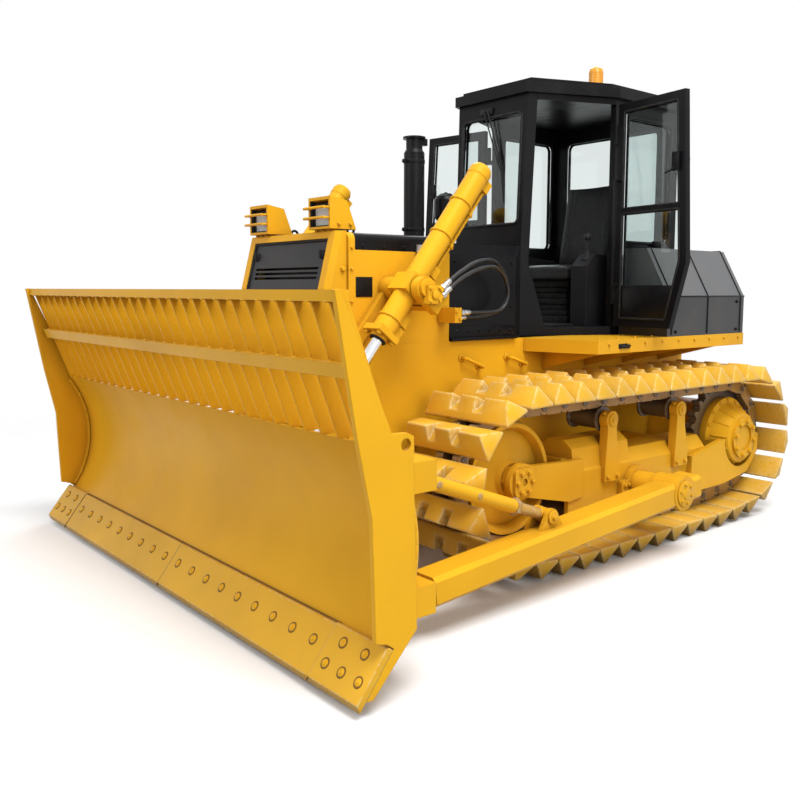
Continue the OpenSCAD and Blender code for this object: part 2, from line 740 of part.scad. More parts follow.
// Rear case with its bolted cover and towing hitch
case_x0 = -380;
case_x1 = 700;
case_half = hull_half - frame_plate - 80;
case_z = deck_z - 110;
cover_plate = 40;
hitch_x = -470;
hitch_z0 = 520;
hitch_step = 130;
hitch_r = 26;
hitch_t = 40;
bolt_y = 220;
bolt_z = 760;
bolt_step = 320;
module rear_case() {
    color([0.89, 0.65, 0.14]) difference() {
        union() {
            box(case_x0, case_x1, -case_half, case_half, belly_z + frame_plate, case_z);
            slab_x(case_x0 - cover_plate, case_x0)
                rounded(-bolt_y - 80, bolt_y + 80, bolt_z - 200, bolt_z + bolt_step + 80, 50);
            for (z = [hitch_z0, hitch_z0 + hitch_step]) {
                box(hitch_x, case_x0, -90, 90, z, z + hitch_t);
                at(hitch_x, 0, z) cylinder(h = hitch_t, r = 80);
            }
        }
        at(hitch_x, 0, hitch_z0 - 1) cylinder(h = hitch_step + hitch_t + 2, r = hitch_r);
        for (y = [-bolt_y, bolt_y], z = [bolt_z, bolt_z + bolt_step])
            at(case_x0 - cover_plate - 1, y, z) rotate([0, 90, 0]) cylinder(h = 2 * cover_plate, r = 11);
    }
}

// Cab

floor_z = deck_z + floor_t;
module cab_floor() {
    color([0.14, 0.14, 0.15]) slab_z(deck_z, floor_z) polygon([[cab_foot, cab_y(cab_foot)],
        [cab_corner, cab_half], [cab_rear, cab_half], [cab_rear, -cab_half], [cab_corner, -cab_half],
        [cab_foot, -cab_y(cab_foot)]]);
}

// Front wall leans back; below the screen its inside slopes to a toe board
screen_half = cab_front_half - 54;
screen_z0 = 2120;
screen_z1 = roof_z - 118;
screen_r = 40;
front_t = 60;
toe_l = 200;
toe_z = floor_z + 440;
front_deep = 240;
lean = (cab_foot - cab_front) / (roof_z - floor_z);
function front_x(z) = cab_foot - (z - floor_z) * lean;
module front_strip(d0, d1) {
    slab_y(-cab_half, cab_half) polygon([[front_x(floor_z) - d0, floor_z], [front_x(roof_z) - d0, roof_z],
        [front_x(roof_z) - d1, roof_z], [front_x(floor_z) - d1, floor_z]]);
}
module front_wedge() {
    x0 = cab_front - front_deep;
    x1 = cab_foot + 20;
    slab_z(floor_z, roof_z) polygon([[x1, cab_y(x1)], [x0, cab_y(x0)], [x0, -cab_y(x0)], [x1, -cab_y(x1)]]);
}
module cab_front_wall() {
    color([0.11, 0.11, 0.12]) difference() {
        intersection() {
            slab_y(-cab_half, cab_half) polygon([[cab_foot, floor_z], [cab_front, roof_z],
                [cab_front - front_t, roof_z], [front_x(toe_z) - front_t, toe_z], [cab_foot - toe_l, floor_z]]);
            front_wedge();
        }
        slab_x(cab_front - front_deep, cab_foot + 20)
            rounded(-screen_half, screen_half, screen_z0, screen_z1, screen_r);
    }
}

pane_x0 = cab_rear + 90;
pane_x1 = cab_corner - 110;
pane_z0 = 2010;
pane_z1 = roof_z - 110;
pane_r = 50;
hinge = [cab_corner + 11, cab_half + 26];
closed_a = atan(cab_run);
hinge_z = [floor_z + 190, roof_z - 290];
knuckle_r = 20;
knuckle_h = 100;
bracket_h = 32;
hinge_pin = 10;
module cab_side_left() {
    color([0.11, 0.11, 0.12]) {
        difference() {
            box(cab_rear + cab_wall, cab_corner, cab_half - cab_wall, cab_half, floor_z, roof_z);
            slab_y(cab_half - cab_wall - 10, cab_half + 10) rounded(pane_x0, pane_x1, pane_z0, pane_z1, pane_r);
        }
        for (z = hinge_z) {
            slab_z(z - bracket_h, z - pin_gap) {
                translate(hinge) circle(knuckle_r);
                polygon([[cab_corner - 60, cab_half - 2], [cab_corner, cab_half - 2],
                    [hinge[0] + 15, hinge[1] - 12], [hinge[0] - 10, hinge[1] + 17]]);
            }
            at(hinge[0], hinge[1], z - pin_gap) cylinder(h = knuckle_h, r = hinge_pin);
        }
    }
}
module cab_side_right() { mirror([0, 1, 0]) cab_side_left(); }

rear_half = cab_half - 160;
module cab_rear_wall() {
    color([0.11, 0.11, 0.12]) difference() {
        box(cab_rear, cab_rear + cab_wall, -cab_half, cab_half, floor_z, roof_z);
        slab_x(cab_rear - 10, cab_rear + cab_wall + 10)
            rounded(-rear_half, rear_half, pane_z0, pane_z1, pane_r);
    }
}

// Roof with a raised middle and headers over the doorways
eave = 34;
crown_in = 30;
crown_h = 34;
header_t = 50;
header_gap = 12;
module roof_plan(out) {
    front = cab_front + out;
    front_half = cab_front_half + out / 4;
    polygon([[front, front_half], [cab_corner + 6, cab_half + out], [cab_rear - out, cab_half + out],
        [cab_rear - out, -cab_half - out], [cab_corner + 6, -cab_half - out], [front, -front_half]]);
}
module cab_roof() {
    head_x0 = cab_corner + 1;
    head_x1 = cab_front - front_t - 1;
    color([0.10, 0.10, 0.11]) {
        slab_z(roof_z, roof_z + roof_edge) roof_plan(eave);
        slab_z(roof_z + roof_edge, roof_z + roof_edge + crown_h) roof_plan(-crown_in);
        both_sides() slab_z(door_z1 + header_gap, roof_z) polygon([[head_x1, cab_y(head_x1)],
            [head_x0, cab_y(head_x0)], [head_x0, cab_y(head_x0) - header_t],
            [head_x1, cab_y(head_x1) - header_t]]);
    }
}

glass_t = 8;
glass_in = 26;
module cab_glass() {
    color([0.35, 0.40, 0.42, 0.4]) {
        intersection() {
            front_strip(glass_in, glass_in + glass_t);
            slab_x(cab_front - front_deep, cab_foot + 20) rounded(-screen_half + seat_gap,
                screen_half - seat_gap, screen_z0 + seat_gap, screen_z1 - seat_gap, screen_r);
        }
        both_sides() slab_y(cab_half - glass_in, cab_half - glass_in + glass_t)
            rounded(pane_x0 + seat_gap, pane_x1 - seat_gap, pane_z0 + seat_gap, pane_z1 - seat_gap, pane_r);
        slab_x(cab_rear + cab_wall - glass_in, cab_rear + cab_wall - glass_in + glass_t)
            rounded(-rear_half + seat_gap, rear_half - seat_gap, pane_z0 + seat_gap, pane_z1 - seat_gap, pane_r);
    }
}

// Seat: box base, rounded cushion and a leaning back
seat_x = cab_rear + 370;
seat_half = 240;
base_half = 180;
base_l = 380;
base_h = 330;
cushion_h = 120;
cushion_r = 40;
back_lean = 10;
back_t = 110;
back_h = 640;
module seat() {
    color([0.16, 0.16, 0.17]) {
        box(seat_x, seat_x + base_l, -base_half, base_half, floor_z, floor_z + base_h);
        slab_y(-seat_half, seat_half) rounded(seat_x - 60, seat_x + base_l + 80, floor_z + base_h,
            floor_z + base_h + cushion_h, cushion_r);
        at(seat_x - 20, 0, floor_z + base_h + cushion_h) rotate([0, -back_lean, 0])
            upright(-seat_half + 10, seat_half - 10) rounded(-60, back_t - 60, -16, back_h - 16, cushion_r);
    }
}

// Side consoles with a lever each
console_in = 300;
console_out = 440;
lever_r = 14;
module cab_controls() {
    color([0.15, 0.15, 0.16]) both_sides() {
        slab_y(console_in, console_out) polygon([[seat_x - 200, floor_z], [seat_x + base_l + 100, floor_z],
            [seat_x + base_l + 100, floor_z + base_h + 100], [seat_x + base_l, floor_z + base_h + 190],
            [seat_x - 200, floor_z + base_h + 140]]);
        at(seat_x + base_l + 10, (console_in + console_out) / 2, floor_z + base_h + 160) {
            cylinder(h = 170, r = lever_r);
            translate([0, 0, 150]) sphere(r = 2 * lever_r);
        }
    }
}

beacon_x = cab_rear + 240;
beacon_z = roof_z + roof_edge + crown_h;
stalk_h = 120;
module beacon_base() {
    color([0.45, 0.45, 0.45]) at(beacon_x, 0, beacon_z) rotate_extrude()
        polygon([[0, 0], [48, 0], [48, 10], [30, 16], [30, stalk_h], [66, stalk_h], [66, stalk_h + 26],
            [0, stalk_h + 26]]);
}
module beacon_lens() {
    color([0.95, 0.42, 0.08]) at(beacon_x, 0, beacon_z + stalk_h + 26) rotate_extrude()
        polygon([[0, 0], [58, 0], [58, 120], [50, 144], [32, 158], [0, 162]]);
}

// Doors, modelled closed along their slanted side and swung open about the hinge

slant = sqrt((cab_front - cab_corner) * (cab_front - cab_corner)
    + (cab_half - cab_front_half) * (cab_half - cab_front_half));
door_z0 = floor_z + 5;
door_z1 = roof_z - 54;
kink_z = 1850;
door_top_u = slant - 57;
door_kink_u = slant - 3;
door_low_u = slant - 127;
door_edge = 26;
pane_in = 58;
rail_z = 2190;
rail_t = 36;
module door_area(d) {
    polygon([[door_edge + d, door_z0 + d], [door_low_u - d * 0.7, door_z0 + d],
        [door_kink_u - d, kink_z + d * 0.2], [door_top_u - d, door_z1 - d], [door_edge + d, door_z1 - d]]);
}
module hung(side) {
    on_side(side) at(hinge[0], hinge[1], 0) rotate([0, 0, door_open - closed_a]) children();
}
module door(side) {
    color([0.11, 0.11, 0.12]) hung(side) {
        difference() {
            upright(-door_t / 2, door_t / 2) door_area(0);
            upright(-door_t, door_t) difference() {
                door_area(pane_in);
                translate([0, rail_z]) square([door_kink_u, rail_t]);
            }
        }
        for (z = hinge_z) difference() {
            union() {
                translate([0, 0, z]) cylinder(h = knuckle_h, r = knuckle_r);
                translate([0, -12, z]) cube([door_edge + 10, 24, knuckle_h]);
            }
            translate([0, 0, z - 1]) cylinder(h = knuckle_h + 2, r = hinge_pin + pin_gap / 2);
        }
    }
}
module door_glass(side) {
    color([0.35, 0.40, 0.42, 0.4]) hung(side) upright(-glass_t / 2, glass_t / 2) difference() {
        door_area(pane_in + seat_gap);
        translate([0, rail_z - seat_gap]) square([door_kink_u, rail_t + 2 * seat_gap]);
    }
}
module door_left() { door(1); }
module door_right() { door(-1); }
module door_left_glass() { door_glass(1); }
module door_right_glass() { door_glass(-1); }

// Blade: curved moldboard on box beams, with end plates and lugs

nose_x = mold_x + 405;
blade_half = blade_w / 2;
plate_t = 24;
mold_half = blade_half - plate_t;
mold_cx = mold_x + mold_r;
edge_a = 37.4;
edge_dir = [sin(edge_a), -cos(edge_a)];
edge_out = [cos(edge_a), sin(edge_a)];
edge_top = [mold_cx - mold_r * edge_out[0], mold_z - mold_r * edge_out[1]];
function edge_at(s, n) = edge_top + s * edge_dir + n * edge_out;
beam_d = 100;
beam_h = 130;
low_beam_z = mold_z - 310;
high_beam_z = mold_z + 210;
rib_count = 6;
rib_side = 324;
rib_t = 20;
ear_gap = 55;
ear_t = 30;
ear_r = 85;
eye_r = 70;
eye_x = mold_x - eye_back;
ram_slope = atan2(ram_z - eye_z, eye_x - ram_x);
ram_len = norm([eye_x - ram_x, ram_z - eye_z]);
lug_x = mold_x + 68;
lug_z = mold_top + 12;
lug_r = 25;
arm_pin = [mold_x - 315, 232];
arm_pin_r = 32;
tongue = 30;
clevis_t = 30;
brace_y = arm_in + 60;
brace_foot_x = 1318;
brace_foot_z = 449;
brace_head_x = 175;
brace_head_z = 861;
brace_rear = [mold_x - brace_foot_x, brace_foot_z];
brace_front = [mold_x - brace_head_x, brace_head_z];
brace_r = 38;
brace_pin_r = 22;
brace_eye = 33;
brace_ear_t = 25;
brace_ears = [brace_y - brace_eye - brace_ear_t - 1, brace_y + brace_eye + 1];
module ear(p, r, back) {
    translate(p) circle(r);
    polygon([[p[0], p[1] - r], [back, p[1] - r], [back, p[1] + r], [p[0], p[1] + r]]);
}
// Keeps what stands behind the moldboard's face
module behind_face() {
    difference() {
        children();
        translate([mold_cx, mold_z]) circle(mold_r + mold_t / 2, $fn = 180);
    }
}
module face_sheet() {
    intersection() {
        translate([mold_cx, mold_z]) difference() {
            circle(mold_r + mold_t, $fn = 180);
            circle(mold_r, $fn = 180);
        }
        polygon([edge_at(0, 0), edge_at(0, -40), [mold_x - 60, mold_z], [mold_x - 60, mold_top],
            [mold_cx, mold_top], [mold_cx, mold_z]]);
    }
    polygon([edge_at(-4, 0), edge_at(edge_l - 50, 0), edge_at(edge_l - 70, -mold_t), edge_at(-4, -mold_t)]);
}
module end_plate() {
    polygon([[nose_x - 26, rack_z + 2], [nose_x, rack_z], [nose_x - 100, mold_top + 59],
        [nose_x - 170, mold_z + 150], [nose_x - 188, mold_z - 350], edge_at(-12, edge_t + 14),
        edge_at(-12, -1), edge_at(edge_l - 50, -1), edge_at(edge_l - 70, -30), [mold_x + 8, mold_z - 340],
        [mold_x + 29, mold_top - 51], [lug_x - 42, lug_z - 27], [lug_x - 40, lug_z + 30],
        [lug_x - 8, lug_z + 46], [mold_x + 139, mold_top + 61]]);
}
module arm_clevis() {
    difference() {
        polygon([arm_pin + [-60, -60], arm_pin + [40, -72], edge_at(40, -4), [mold_x - 10, mold_z - 180],
            arm_pin + [180, 208], arm_pin + [-60, 60]]);
        translate(arm_pin) circle(arm_pin_r + pin_gap / 2);
    }
}
module moldboard() {
    rib_y = mold_half - rib_side;
    color([0.92, 0.68, 0.15]) difference() {
        union() {
            slab_y(-mold_half, mold_half) face_sheet();
            // stiffening beams and ribs across the back
            slab_y(-mold_half, mold_half) behind_face() {
                translate([mold_x - mold_t - beam_d, low_beam_z]) square([beam_d + 60, beam_h]);
                translate([mold_x - mold_t - beam_d, high_beam_z]) square([beam_d + 90, beam_h]);
            }
            for (i = [0 : rib_count - 1], y = -rib_y + i * 2 * rib_y / (rib_count - 1))
                slab_y(y - rib_t / 2, y + rib_t / 2) behind_face()
                    translate([mold_x - mold_t - beam_d + 20, low_beam_z + beam_h - 5])
                        square([beam_d, high_beam_z - low_beam_z - beam_h + 10]);
            both_sides() {
                slab_y(mold_half, blade_half) end_plate();
                // ears for the ram's rod
                for (y = [ram_y - ear_gap - ear_t, ram_y + ear_gap]) slab_y(y, y + ear_t)
                    behind_face() ear([eye_x, eye_z], ear_r, mold_x + 4);
                // clevis for the push arm and ears for the brace
                for (y = [arm_y - tongue - clevis_t - 1, arm_y + tongue + 1]) slab_y(y, y + clevis_t)
                    behind_face() arm_clevis();
                for (y = brace_ears) slab_y(y, y + brace_ear_t) behind_face() difference() {
                    ear(brace_front, 55, mold_x + 80);
                    translate(brace_front) circle(brace_pin_r + pin_gap / 2);
                }
            }
        }
        both_sides() bar_y(lug_x, lug_z, mold_half - 40, blade_half + 10, lug_r);
    }
}

// Rack of slats above the moldboard, between a top rail and a middle bar
rack_foot = mold_cx - sqrt(mold_r * mold_r - (mold_top - mold_z) * (mold_top - mold_z));
rack_head = nose_x - 22;
rail_d = 60;
top_rail_h = 44;
bar_z = (mold_top + rack_z) / 2 - 30;
bar_h = 60;
bar_t = 36;
slat_side = 66;
// Front edge of the slats
function rack_x(z) = rack_foot + 8 + (z - mold_top) / (rack_z - 40 - mold_top) * (rack_head - 22 - rack_foot);
module blade_rack() {
    slat_y = mold_half - slat_side;
    color([0.92, 0.68, 0.15]) {
        for (i = [0 : slat_count - 1], y = -slat_y + i * 2 * slat_y / (slat_count - 1))
            slab_y(y - slat_t / 2, y + slat_t / 2) polygon([[rack_foot + 8, mold_top],
                [rack_head - 14, rack_z - 40], [rack_head - 14 - slat_d, rack_z - 40],
                [rack_foot + 8 - slat_d, mold_top]]);
        box(rack_head - rail_d, rack_head, -mold_half, mold_half, rack_z - top_rail_h, rack_z);
        slab_y(-mold_half + 40, mold_half - 40) polygon([[rack_x(bar_z), bar_z],
            [rack_x(bar_z) + bar_t, bar_z], [rack_x(bar_z + bar_h) + bar_t, bar_z + bar_h],
            [rack_x(bar_z + bar_h), bar_z + bar_h]]);
    }
}

// Bolted cutting edges with a bevelled lip, and thicker end bits
bit_w = 348;
bit_more = 4;
seam = 1;
lip = 20;
module edge_section(top, t) {
    polygon([edge_at(top, seat_gap), edge_at(edge_l, seat_gap), edge_at(edge_l - lip, t), edge_at(top + 8, t),
        edge_at(top, t - 8)]);
}
module cutting_edges() {
    color([0.62, 0.50, 0.28]) both_sides() {
        slab_y(seam, blade_half - bit_w - seam) edge_section(0, edge_t);
        slab_y(blade_half - bit_w, blade_half) edge_section(-6, edge_t + bit_more);
    }
}

// Push arms: welded boxes with bevelled corners, from the trunnion to the blade's clevis
arm_d = arm_pin - [pivot_x, pivot_z];
arm_slope = -atan2(arm_d[1], arm_d[0]);
arm_tail = 190;
arm_reach = norm(arm_d) - 112;
arm_bevel = 22;
arm_wall = 26;
arm_boss = 4;
module arm_section() {
    y = arm_w / 2;
    z = arm_h / 2;
    polygon([[-y, -z + arm_bevel], [-y + arm_bevel, -z], [y - arm_bevel, -z], [y, -z + arm_bevel],
        [y, z - arm_bevel], [y - arm_bevel, z], [-y + arm_bevel, z], [-y, z - arm_bevel]]);
}
module brace_foot() {
    difference() {
        union() {
            translate(brace_rear) circle(46);
            polygon([brace_rear + [-110, -99], brace_rear + [110, -99], brace_rear + [42, 16],
                brace_rear + [-42, 16]]);
        }
        translate(brace_rear) circle(brace_pin_r + pin_gap / 2);
    }
}
module push_arms() {
    color([0.90, 0.66, 0.14]) both_sides() difference() {
        union() {
            at(pivot_x, arm_y, pivot_z) rotate([0, arm_slope, 0]) translate([-arm_tail, 0, 0])
                rotate([90, 0, 90]) linear_extrude(arm_tail + arm_reach) arm_section();
            bar_y(pivot_x, pivot_z, arm_in - arm_boss, arm_in + arm_w + arm_boss, pivot_r + 48);
            slab_y(arm_y - tongue, arm_y + tongue) ear(arm_pin, 56, arm_pin[0] - 130);
            bar_y(arm_pin[0], arm_pin[1], arm_y - 70, arm_y + 70, arm_pin_r);
            for (y = brace_ears) slab_y(y, y + brace_ear_t) brace_foot();
        }
        bar_y(pivot_x, pivot_z, arm_in - arm_boss - 1, arm_in + arm_w - arm_wall + 6, pivot_r + pin_gap);
    }
}

// Braces: tubes with a screwed rear end and an eye at each end
brace_d = brace_front - brace_rear;
brace_len = norm(brace_d);
screw_l = 250;
module braces() {
    color([0.90, 0.66, 0.14]) both_sides() {
        at(brace_rear[0], brace_y, brace_rear[1]) rotate([0, 90 - atan2(brace_d[1], brace_d[0]), 0])
            rotate_extrude() polygon([[0, 30], [brace_r - 10, 30], [brace_r - 10, screw_l],
                [brace_r, screw_l + 14], [brace_r, brace_len - 110], [brace_r - 8, brace_len - 80],
                [brace_r - 8, brace_len - 30], [0, brace_len - 30]]);
        for (p = [brace_rear, brace_front]) {
            bar_y(p[0], p[1], brace_y - brace_eye, brace_y + brace_eye, 42);
            bar_y(p[0], p[1], brace_y - brace_eye - 30, brace_y + brace_eye + 30, brace_pin_r);
        }
    }
}

// Lift rams, drawn along their own axis from the trunnion

barrel_top = 878;
barrel_low = 356;
collar_r = 80;
collar_half = 58;
trunnion_r = 35;
bore_r = 50;
rod_in = 150;
head_half = 75;
head_t = 36;
gland_t = 20;
port_l = 70;
pipe_r = 12;
pipe_out = barrel_r + 24;
pipe_clear = 140;
module along_ram(side) {
    on_side(side) at(ram_x, ram_y, ram_z) rotate([0, 90 + ram_slope, 0]) children();
}
// Port blocks and the two oil pipes on the barrel's underside
module ram_pipes() {
    for (z = [[-barrel_top + 20, -pipe_clear], [pipe_clear, barrel_low - 60]]) {
        translate([pipe_out, 0, z[0]]) cylinder(h = z[1] - z[0], r = pipe_r, $fn = 24);
        for (e = [z[0], z[1] - port_l])
            translate([barrel_r - 12, -26, e]) cube([pipe_out - barrel_r + 12 + pipe_r + 4, 52, port_l]);
    }
}
module ram_barrel(side) {
    color([0.92, 0.68, 0.15]) along_ram(side) difference() {
        union() {
            rotate_extrude() polygon([[0, -barrel_top - 30], [40, -barrel_top - 30], [58, -barrel_top - 18],
                [barrel_r + 4, -barrel_top + 6], [barrel_r + 4, -barrel_top + 50],
                [barrel_r, -barrel_top + 58], [barrel_r, barrel_low - gland_t], [rod_r + 18, barrel_low - gland_t],
                [rod_r + 18, barrel_low], [0, barrel_low]]);
            translate([-collar_r + 6, -collar_r, -collar_half])
                cube([2 * collar_r - 12, 2 * collar_r, 2 * collar_half]);
            translate([-head_half, -head_half, barrel_low - gland_t - head_t])
                cube([2 * head_half, 2 * head_half, head_t]);
            upright(-collar_r - 62, collar_r + 62) circle(trunnion_r);
            ram_pipes();
        }
        translate([0, 0, -barrel_top + 30]) cylinder(h = barrel_top + barrel_low - 80, r = bore_r);
        cylinder(h = barrel_low + 1, r = rod_r + pin_gap);
    }
}
module ram_rod(side) {
    color([0.75, 0.76, 0.78]) along_ram(side) difference() {
        union() {
            translate([0, 0, -rod_in]) cylinder(h = rod_in + ram_len - 40, r = rod_r);
            translate([0, 0, -rod_in]) cylinder(h = 50, r = bore_r - 0.5);
            translate([0, 0, ram_len]) upright(-45, 45) circle(eye_r);
        }
        translate([0, 0, ram_len]) upright(-50, 50) circle(40);
    }
}
module ram_barrel_left() { ram_barrel(1); }
module ram_barrel_right() { ram_barrel(-1); }
module ram_rod_left() { ram_rod(1); }
module ram_rod_right() { ram_rod(-1); }

// Yokes on the hood's sides that carry the rams' trunnions, each with a strut along the hood
yoke_gap = 8;
cheek_r = 64;
bridge = 112;
bridge_t = 44;
cheek_out = ram_y + collar_r + 66;
strut_l = 420;
strut_half = 32;
strut_t = 45;
module ram_yokes() {
    color([0.92, 0.68, 0.15]) both_sides() at(ram_x, 0, ram_z) rotate([0, 90 + ram_slope, 0]) {
        difference() {
            for (y = [[hull_half, ram_y - collar_r - yoke_gap], [ram_y + collar_r + yoke_gap, cheek_out]])
                upright(y[0], y[1]) {
                    circle(cheek_r);
                    translate([0, -cheek_r]) square([bridge + bridge_t, 2 * cheek_r]);
                }
            upright(hull_half + 20, cheek_out + 1) circle(trunnion_r + pin_gap / 2);
        }
        translate([bridge, hull_half, -40]) cube([bridge_t, cheek_out - hull_half, 80]);
        upright(hull_half, hull_half + strut_t) polygon([[-strut_half, cheek_r - 20], [strut_half, cheek_r - 20],
            [strut_half, strut_l - 20], [strut_half - 20, strut_l], [-strut_half + 20, strut_l],
            [-strut_half, strut_l - 20]]);
    }
}

// Hoses from the swivel block on each yoke, over the cowl's side and back to a bracket on the hood

hose_d = 22;
hose_sides = 8;
fitting_r = hose_d / 2 + 5;
fitting_l = 70;
swivel_t = 44;
bracket_x = hood_rear + 45;
bracket_l = 55;
bracket_out = 160;
bracket_z = deck_z + 120;
hose_bracket_h = 90;
function unit(v) = v / norm(v);
// Direction of a route at its point i
function run(route, i) = unit(route[min(i + 1, len(route) - 1)] - route[max(i - 1, 0)]);
function ring(route, i) = let (d = run(route, i), u = unit(cross([0, 1, 0], d)), v = cross(d, u))
    [for (k = [0 : hose_sides - 1], a = k * 360 / hose_sides)
        route[i] - [mid_x, 0, 0] + hose_d / 2 * (cos(a) * u + sin(a) * v)];
module hose(route) {
    n = hose_sides;
    last = (len(route) - 1) * n;
    color([0.08, 0.08, 0.08]) polyhedron(
        points = [for (i = [0 : len(route) - 1]) each ring(route, i)],
        faces = [[for (k = [0 : n - 1]) k], [for (k = [n - 1 : -1 : 0]) last + k],
            for (i = [0 : len(route) - 2], k = [0 : n - 1]) [i * n + k, i * n + n + k, i * n + (k + 1) % n],
            for (i = [0 : len(route) - 2], k = [0 : n - 1])
                [i * n + n + k, i * n + n + (k + 1) % n, i * n + (k + 1) % n]]);
}
module hose_left_long() { hose(long_route); }
module hose_left_short() { hose(short_route); }
module hose_right_long() { mirror([0, 1, 0]) hose(long_route); }
module hose_right_short() { mirror([0, 1, 0]) hose(short_route); }
hose_routes = [long_route, short_route];
module place_fitting(p, way) {
    at(p[0], p[1], p[2]) aim(way) cylinder(h = fitting_l, r = fitting_r, $fn = 16);
}
module hose_brackets() {
    color([0.90, 0.66, 0.14]) both_sides() {
        box(ram_x - 73, ram_x + 22, cheek_out, cheek_out + swivel_t, ram_z - 85, ram_z + 15);
        bar_y(ram_x, ram_z, cheek_out, cheek_out + swivel_t / 2, trunnion_r + 16);
        box(bracket_x, bracket_x + bracket_l, hull_half, hull_half + bracket_out, bracket_z,
            bracket_z + hose_bracket_h);
        for (k = [0, 1], route = [hose_routes[k]]) {
            place_fitting([ram_x - 123, cheek_out + swivel_t - 20, ram_z + 20 - k * 40], -run(route, 0));
            place_fitting([bracket_x - 55, hull_half + 90 + k * 40, bracket_z + 30 + k * 30],
                run(route, len(route) - 1));
        }
    }
}

// The frame's origin is on the ground under the middle of the whole length
tail_x = min([for (i = [0 : shoe_count - 1], p = ridge) on_link(i, p)[0]]);
mid_x = (nose_x + tail_x) / 2;

main_frame();
engine_block();
radiator_core();
radiator_guard();
radiator_grille();
hood_top();
hood_sides();
lamp_housings();
lamp_lenses();
exhaust_stack();
air_precleaner();
cowl();
fenders();
side_tanks();
rear_tank();
rear_case();
cab_floor();
cab_front_wall();
cab_side_left();
cab_side_right();
cab_rear_wall();
cab_roof();
cab_glass();
seat();
cab_controls();
beacon_base();
beacon_lens();
ram_yokes();
hose_brackets();
hose_left_long();
hose_left_short();
hose_right_long();
hose_right_short();
track_frame_left();
track_frame_right();
track_left();
track_right();
idlers();
sprockets();
final_drives();
track_rollers();
carrier_rollers();
door_left();
door_left_glass();
door_right();
door_right_glass();
moldboard();
blade_rack();
cutting_edges();
push_arms();
braces();
ram_barrel_left();
ram_rod_left();
ram_barrel_right();
ram_rod_right();
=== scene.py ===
import math
import bpy
from mathutils import Matrix, Vector


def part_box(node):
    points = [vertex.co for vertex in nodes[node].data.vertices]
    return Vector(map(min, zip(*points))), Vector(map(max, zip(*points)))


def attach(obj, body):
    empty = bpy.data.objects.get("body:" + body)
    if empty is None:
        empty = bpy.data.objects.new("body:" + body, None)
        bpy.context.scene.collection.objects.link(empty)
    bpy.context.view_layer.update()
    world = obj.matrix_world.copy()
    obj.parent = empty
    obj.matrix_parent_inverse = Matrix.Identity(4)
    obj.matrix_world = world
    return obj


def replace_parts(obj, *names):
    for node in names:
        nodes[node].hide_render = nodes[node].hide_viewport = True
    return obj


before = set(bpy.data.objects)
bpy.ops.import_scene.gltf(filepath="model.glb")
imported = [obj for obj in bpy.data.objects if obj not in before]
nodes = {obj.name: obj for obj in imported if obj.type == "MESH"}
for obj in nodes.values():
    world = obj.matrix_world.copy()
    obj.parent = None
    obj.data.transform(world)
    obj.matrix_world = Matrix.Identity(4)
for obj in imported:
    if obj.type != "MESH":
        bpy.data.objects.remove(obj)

scene = bpy.context.scene
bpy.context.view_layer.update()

# Studio: a white floor that keeps the soft shadow, a big lamp high on the left, a fill on the right and
# a pale sky. The camera stands where the photographer stood, at standing eye height.
CAMERA_PLACE = Vector((4.137, 4.406, 1.667))
CAMERA_HEADING = math.radians(50.43)
CAMERA_DIP = math.radians(6.01)
CAMERA_ROLL = math.radians(0.16)
PHOTO_PIXELS = 800
FOCAL_PIXELS = 862.1
VIEW_CENTRE = (402.8, 380.3)
FLOOR_WHITE = 0.93
FLOOR_BOUNCE = 0.32

bpy.ops.object.select_all(action="DESELECT")
forward = Vector((-math.cos(CAMERA_HEADING) * math.cos(CAMERA_DIP),
                  -math.sin(CAMERA_HEADING) * math.cos(CAMERA_DIP), -math.sin(CAMERA_DIP)))
level = forward.cross(Vector((0, 0, 1))).normalized()
upward = level.cross(forward)
right = level * math.cos(CAMERA_ROLL) + upward * math.sin(CAMERA_ROLL)
up = upward * math.cos(CAMERA_ROLL) - level * math.sin(CAMERA_ROLL)
bpy.ops.object.camera_add()
camera = bpy.context.object
camera.matrix_world = Matrix.Translation(CAMERA_PLACE) @ Matrix((right, up, -forward)).transposed().to_4x4()
camera.data.sensor_width = 36
camera.data.lens = camera.data.sensor_width * FOCAL_PIXELS / PHOTO_PIXELS
camera.data.shift_x = (PHOTO_PIXELS / 2 - VIEW_CENTRE[0]) / PHOTO_PIXELS
camera.data.shift_y = (VIEW_CENTRE[1] - PHOTO_PIXELS / 2) / PHOTO_PIXELS
scene.camera = camera
scene.view_settings.view_transform = "Standard"


def material_nodes(name):
    """A new material with its shader and its node tree."""
    material = bpy.data.materials.new(name)
    material.use_nodes = True
    tree = material.node_tree
    return material, tree.nodes["Principled BSDF"], tree


def finish_with(obj, material):
    """Every face of a piece gets one material."""
    obj.data.materials.clear()
    obj.data.materials.append(material)


def maths(tree, operation, first, second):
    """A Math node on sockets or numbers, kept between 0 and 1."""
    node = tree.nodes.new("ShaderNodeMath")
    node.operation = operation
    node.use_clamp = True
    for socket, value in zip(node.inputs, (first, second)):
        if hasattr(value, "links"):
            tree.links.new(value, socket)
        else:
            socket.default_value = value
    return node.outputs["Value"]


def seen_in_mirrors(tree):
    """1 for rays from the camera, from a mirror or through glass, and 0 for rays that light the object."""
    path = tree.nodes.new("ShaderNodeLightPath")
    bent = maths(tree, "ADD", path.outputs["Is Glossy Ray"], path.outputs["Is Transmission Ray"])
    return maths(tree, "ADD", path.outputs["Is Camera Ray"], bent)


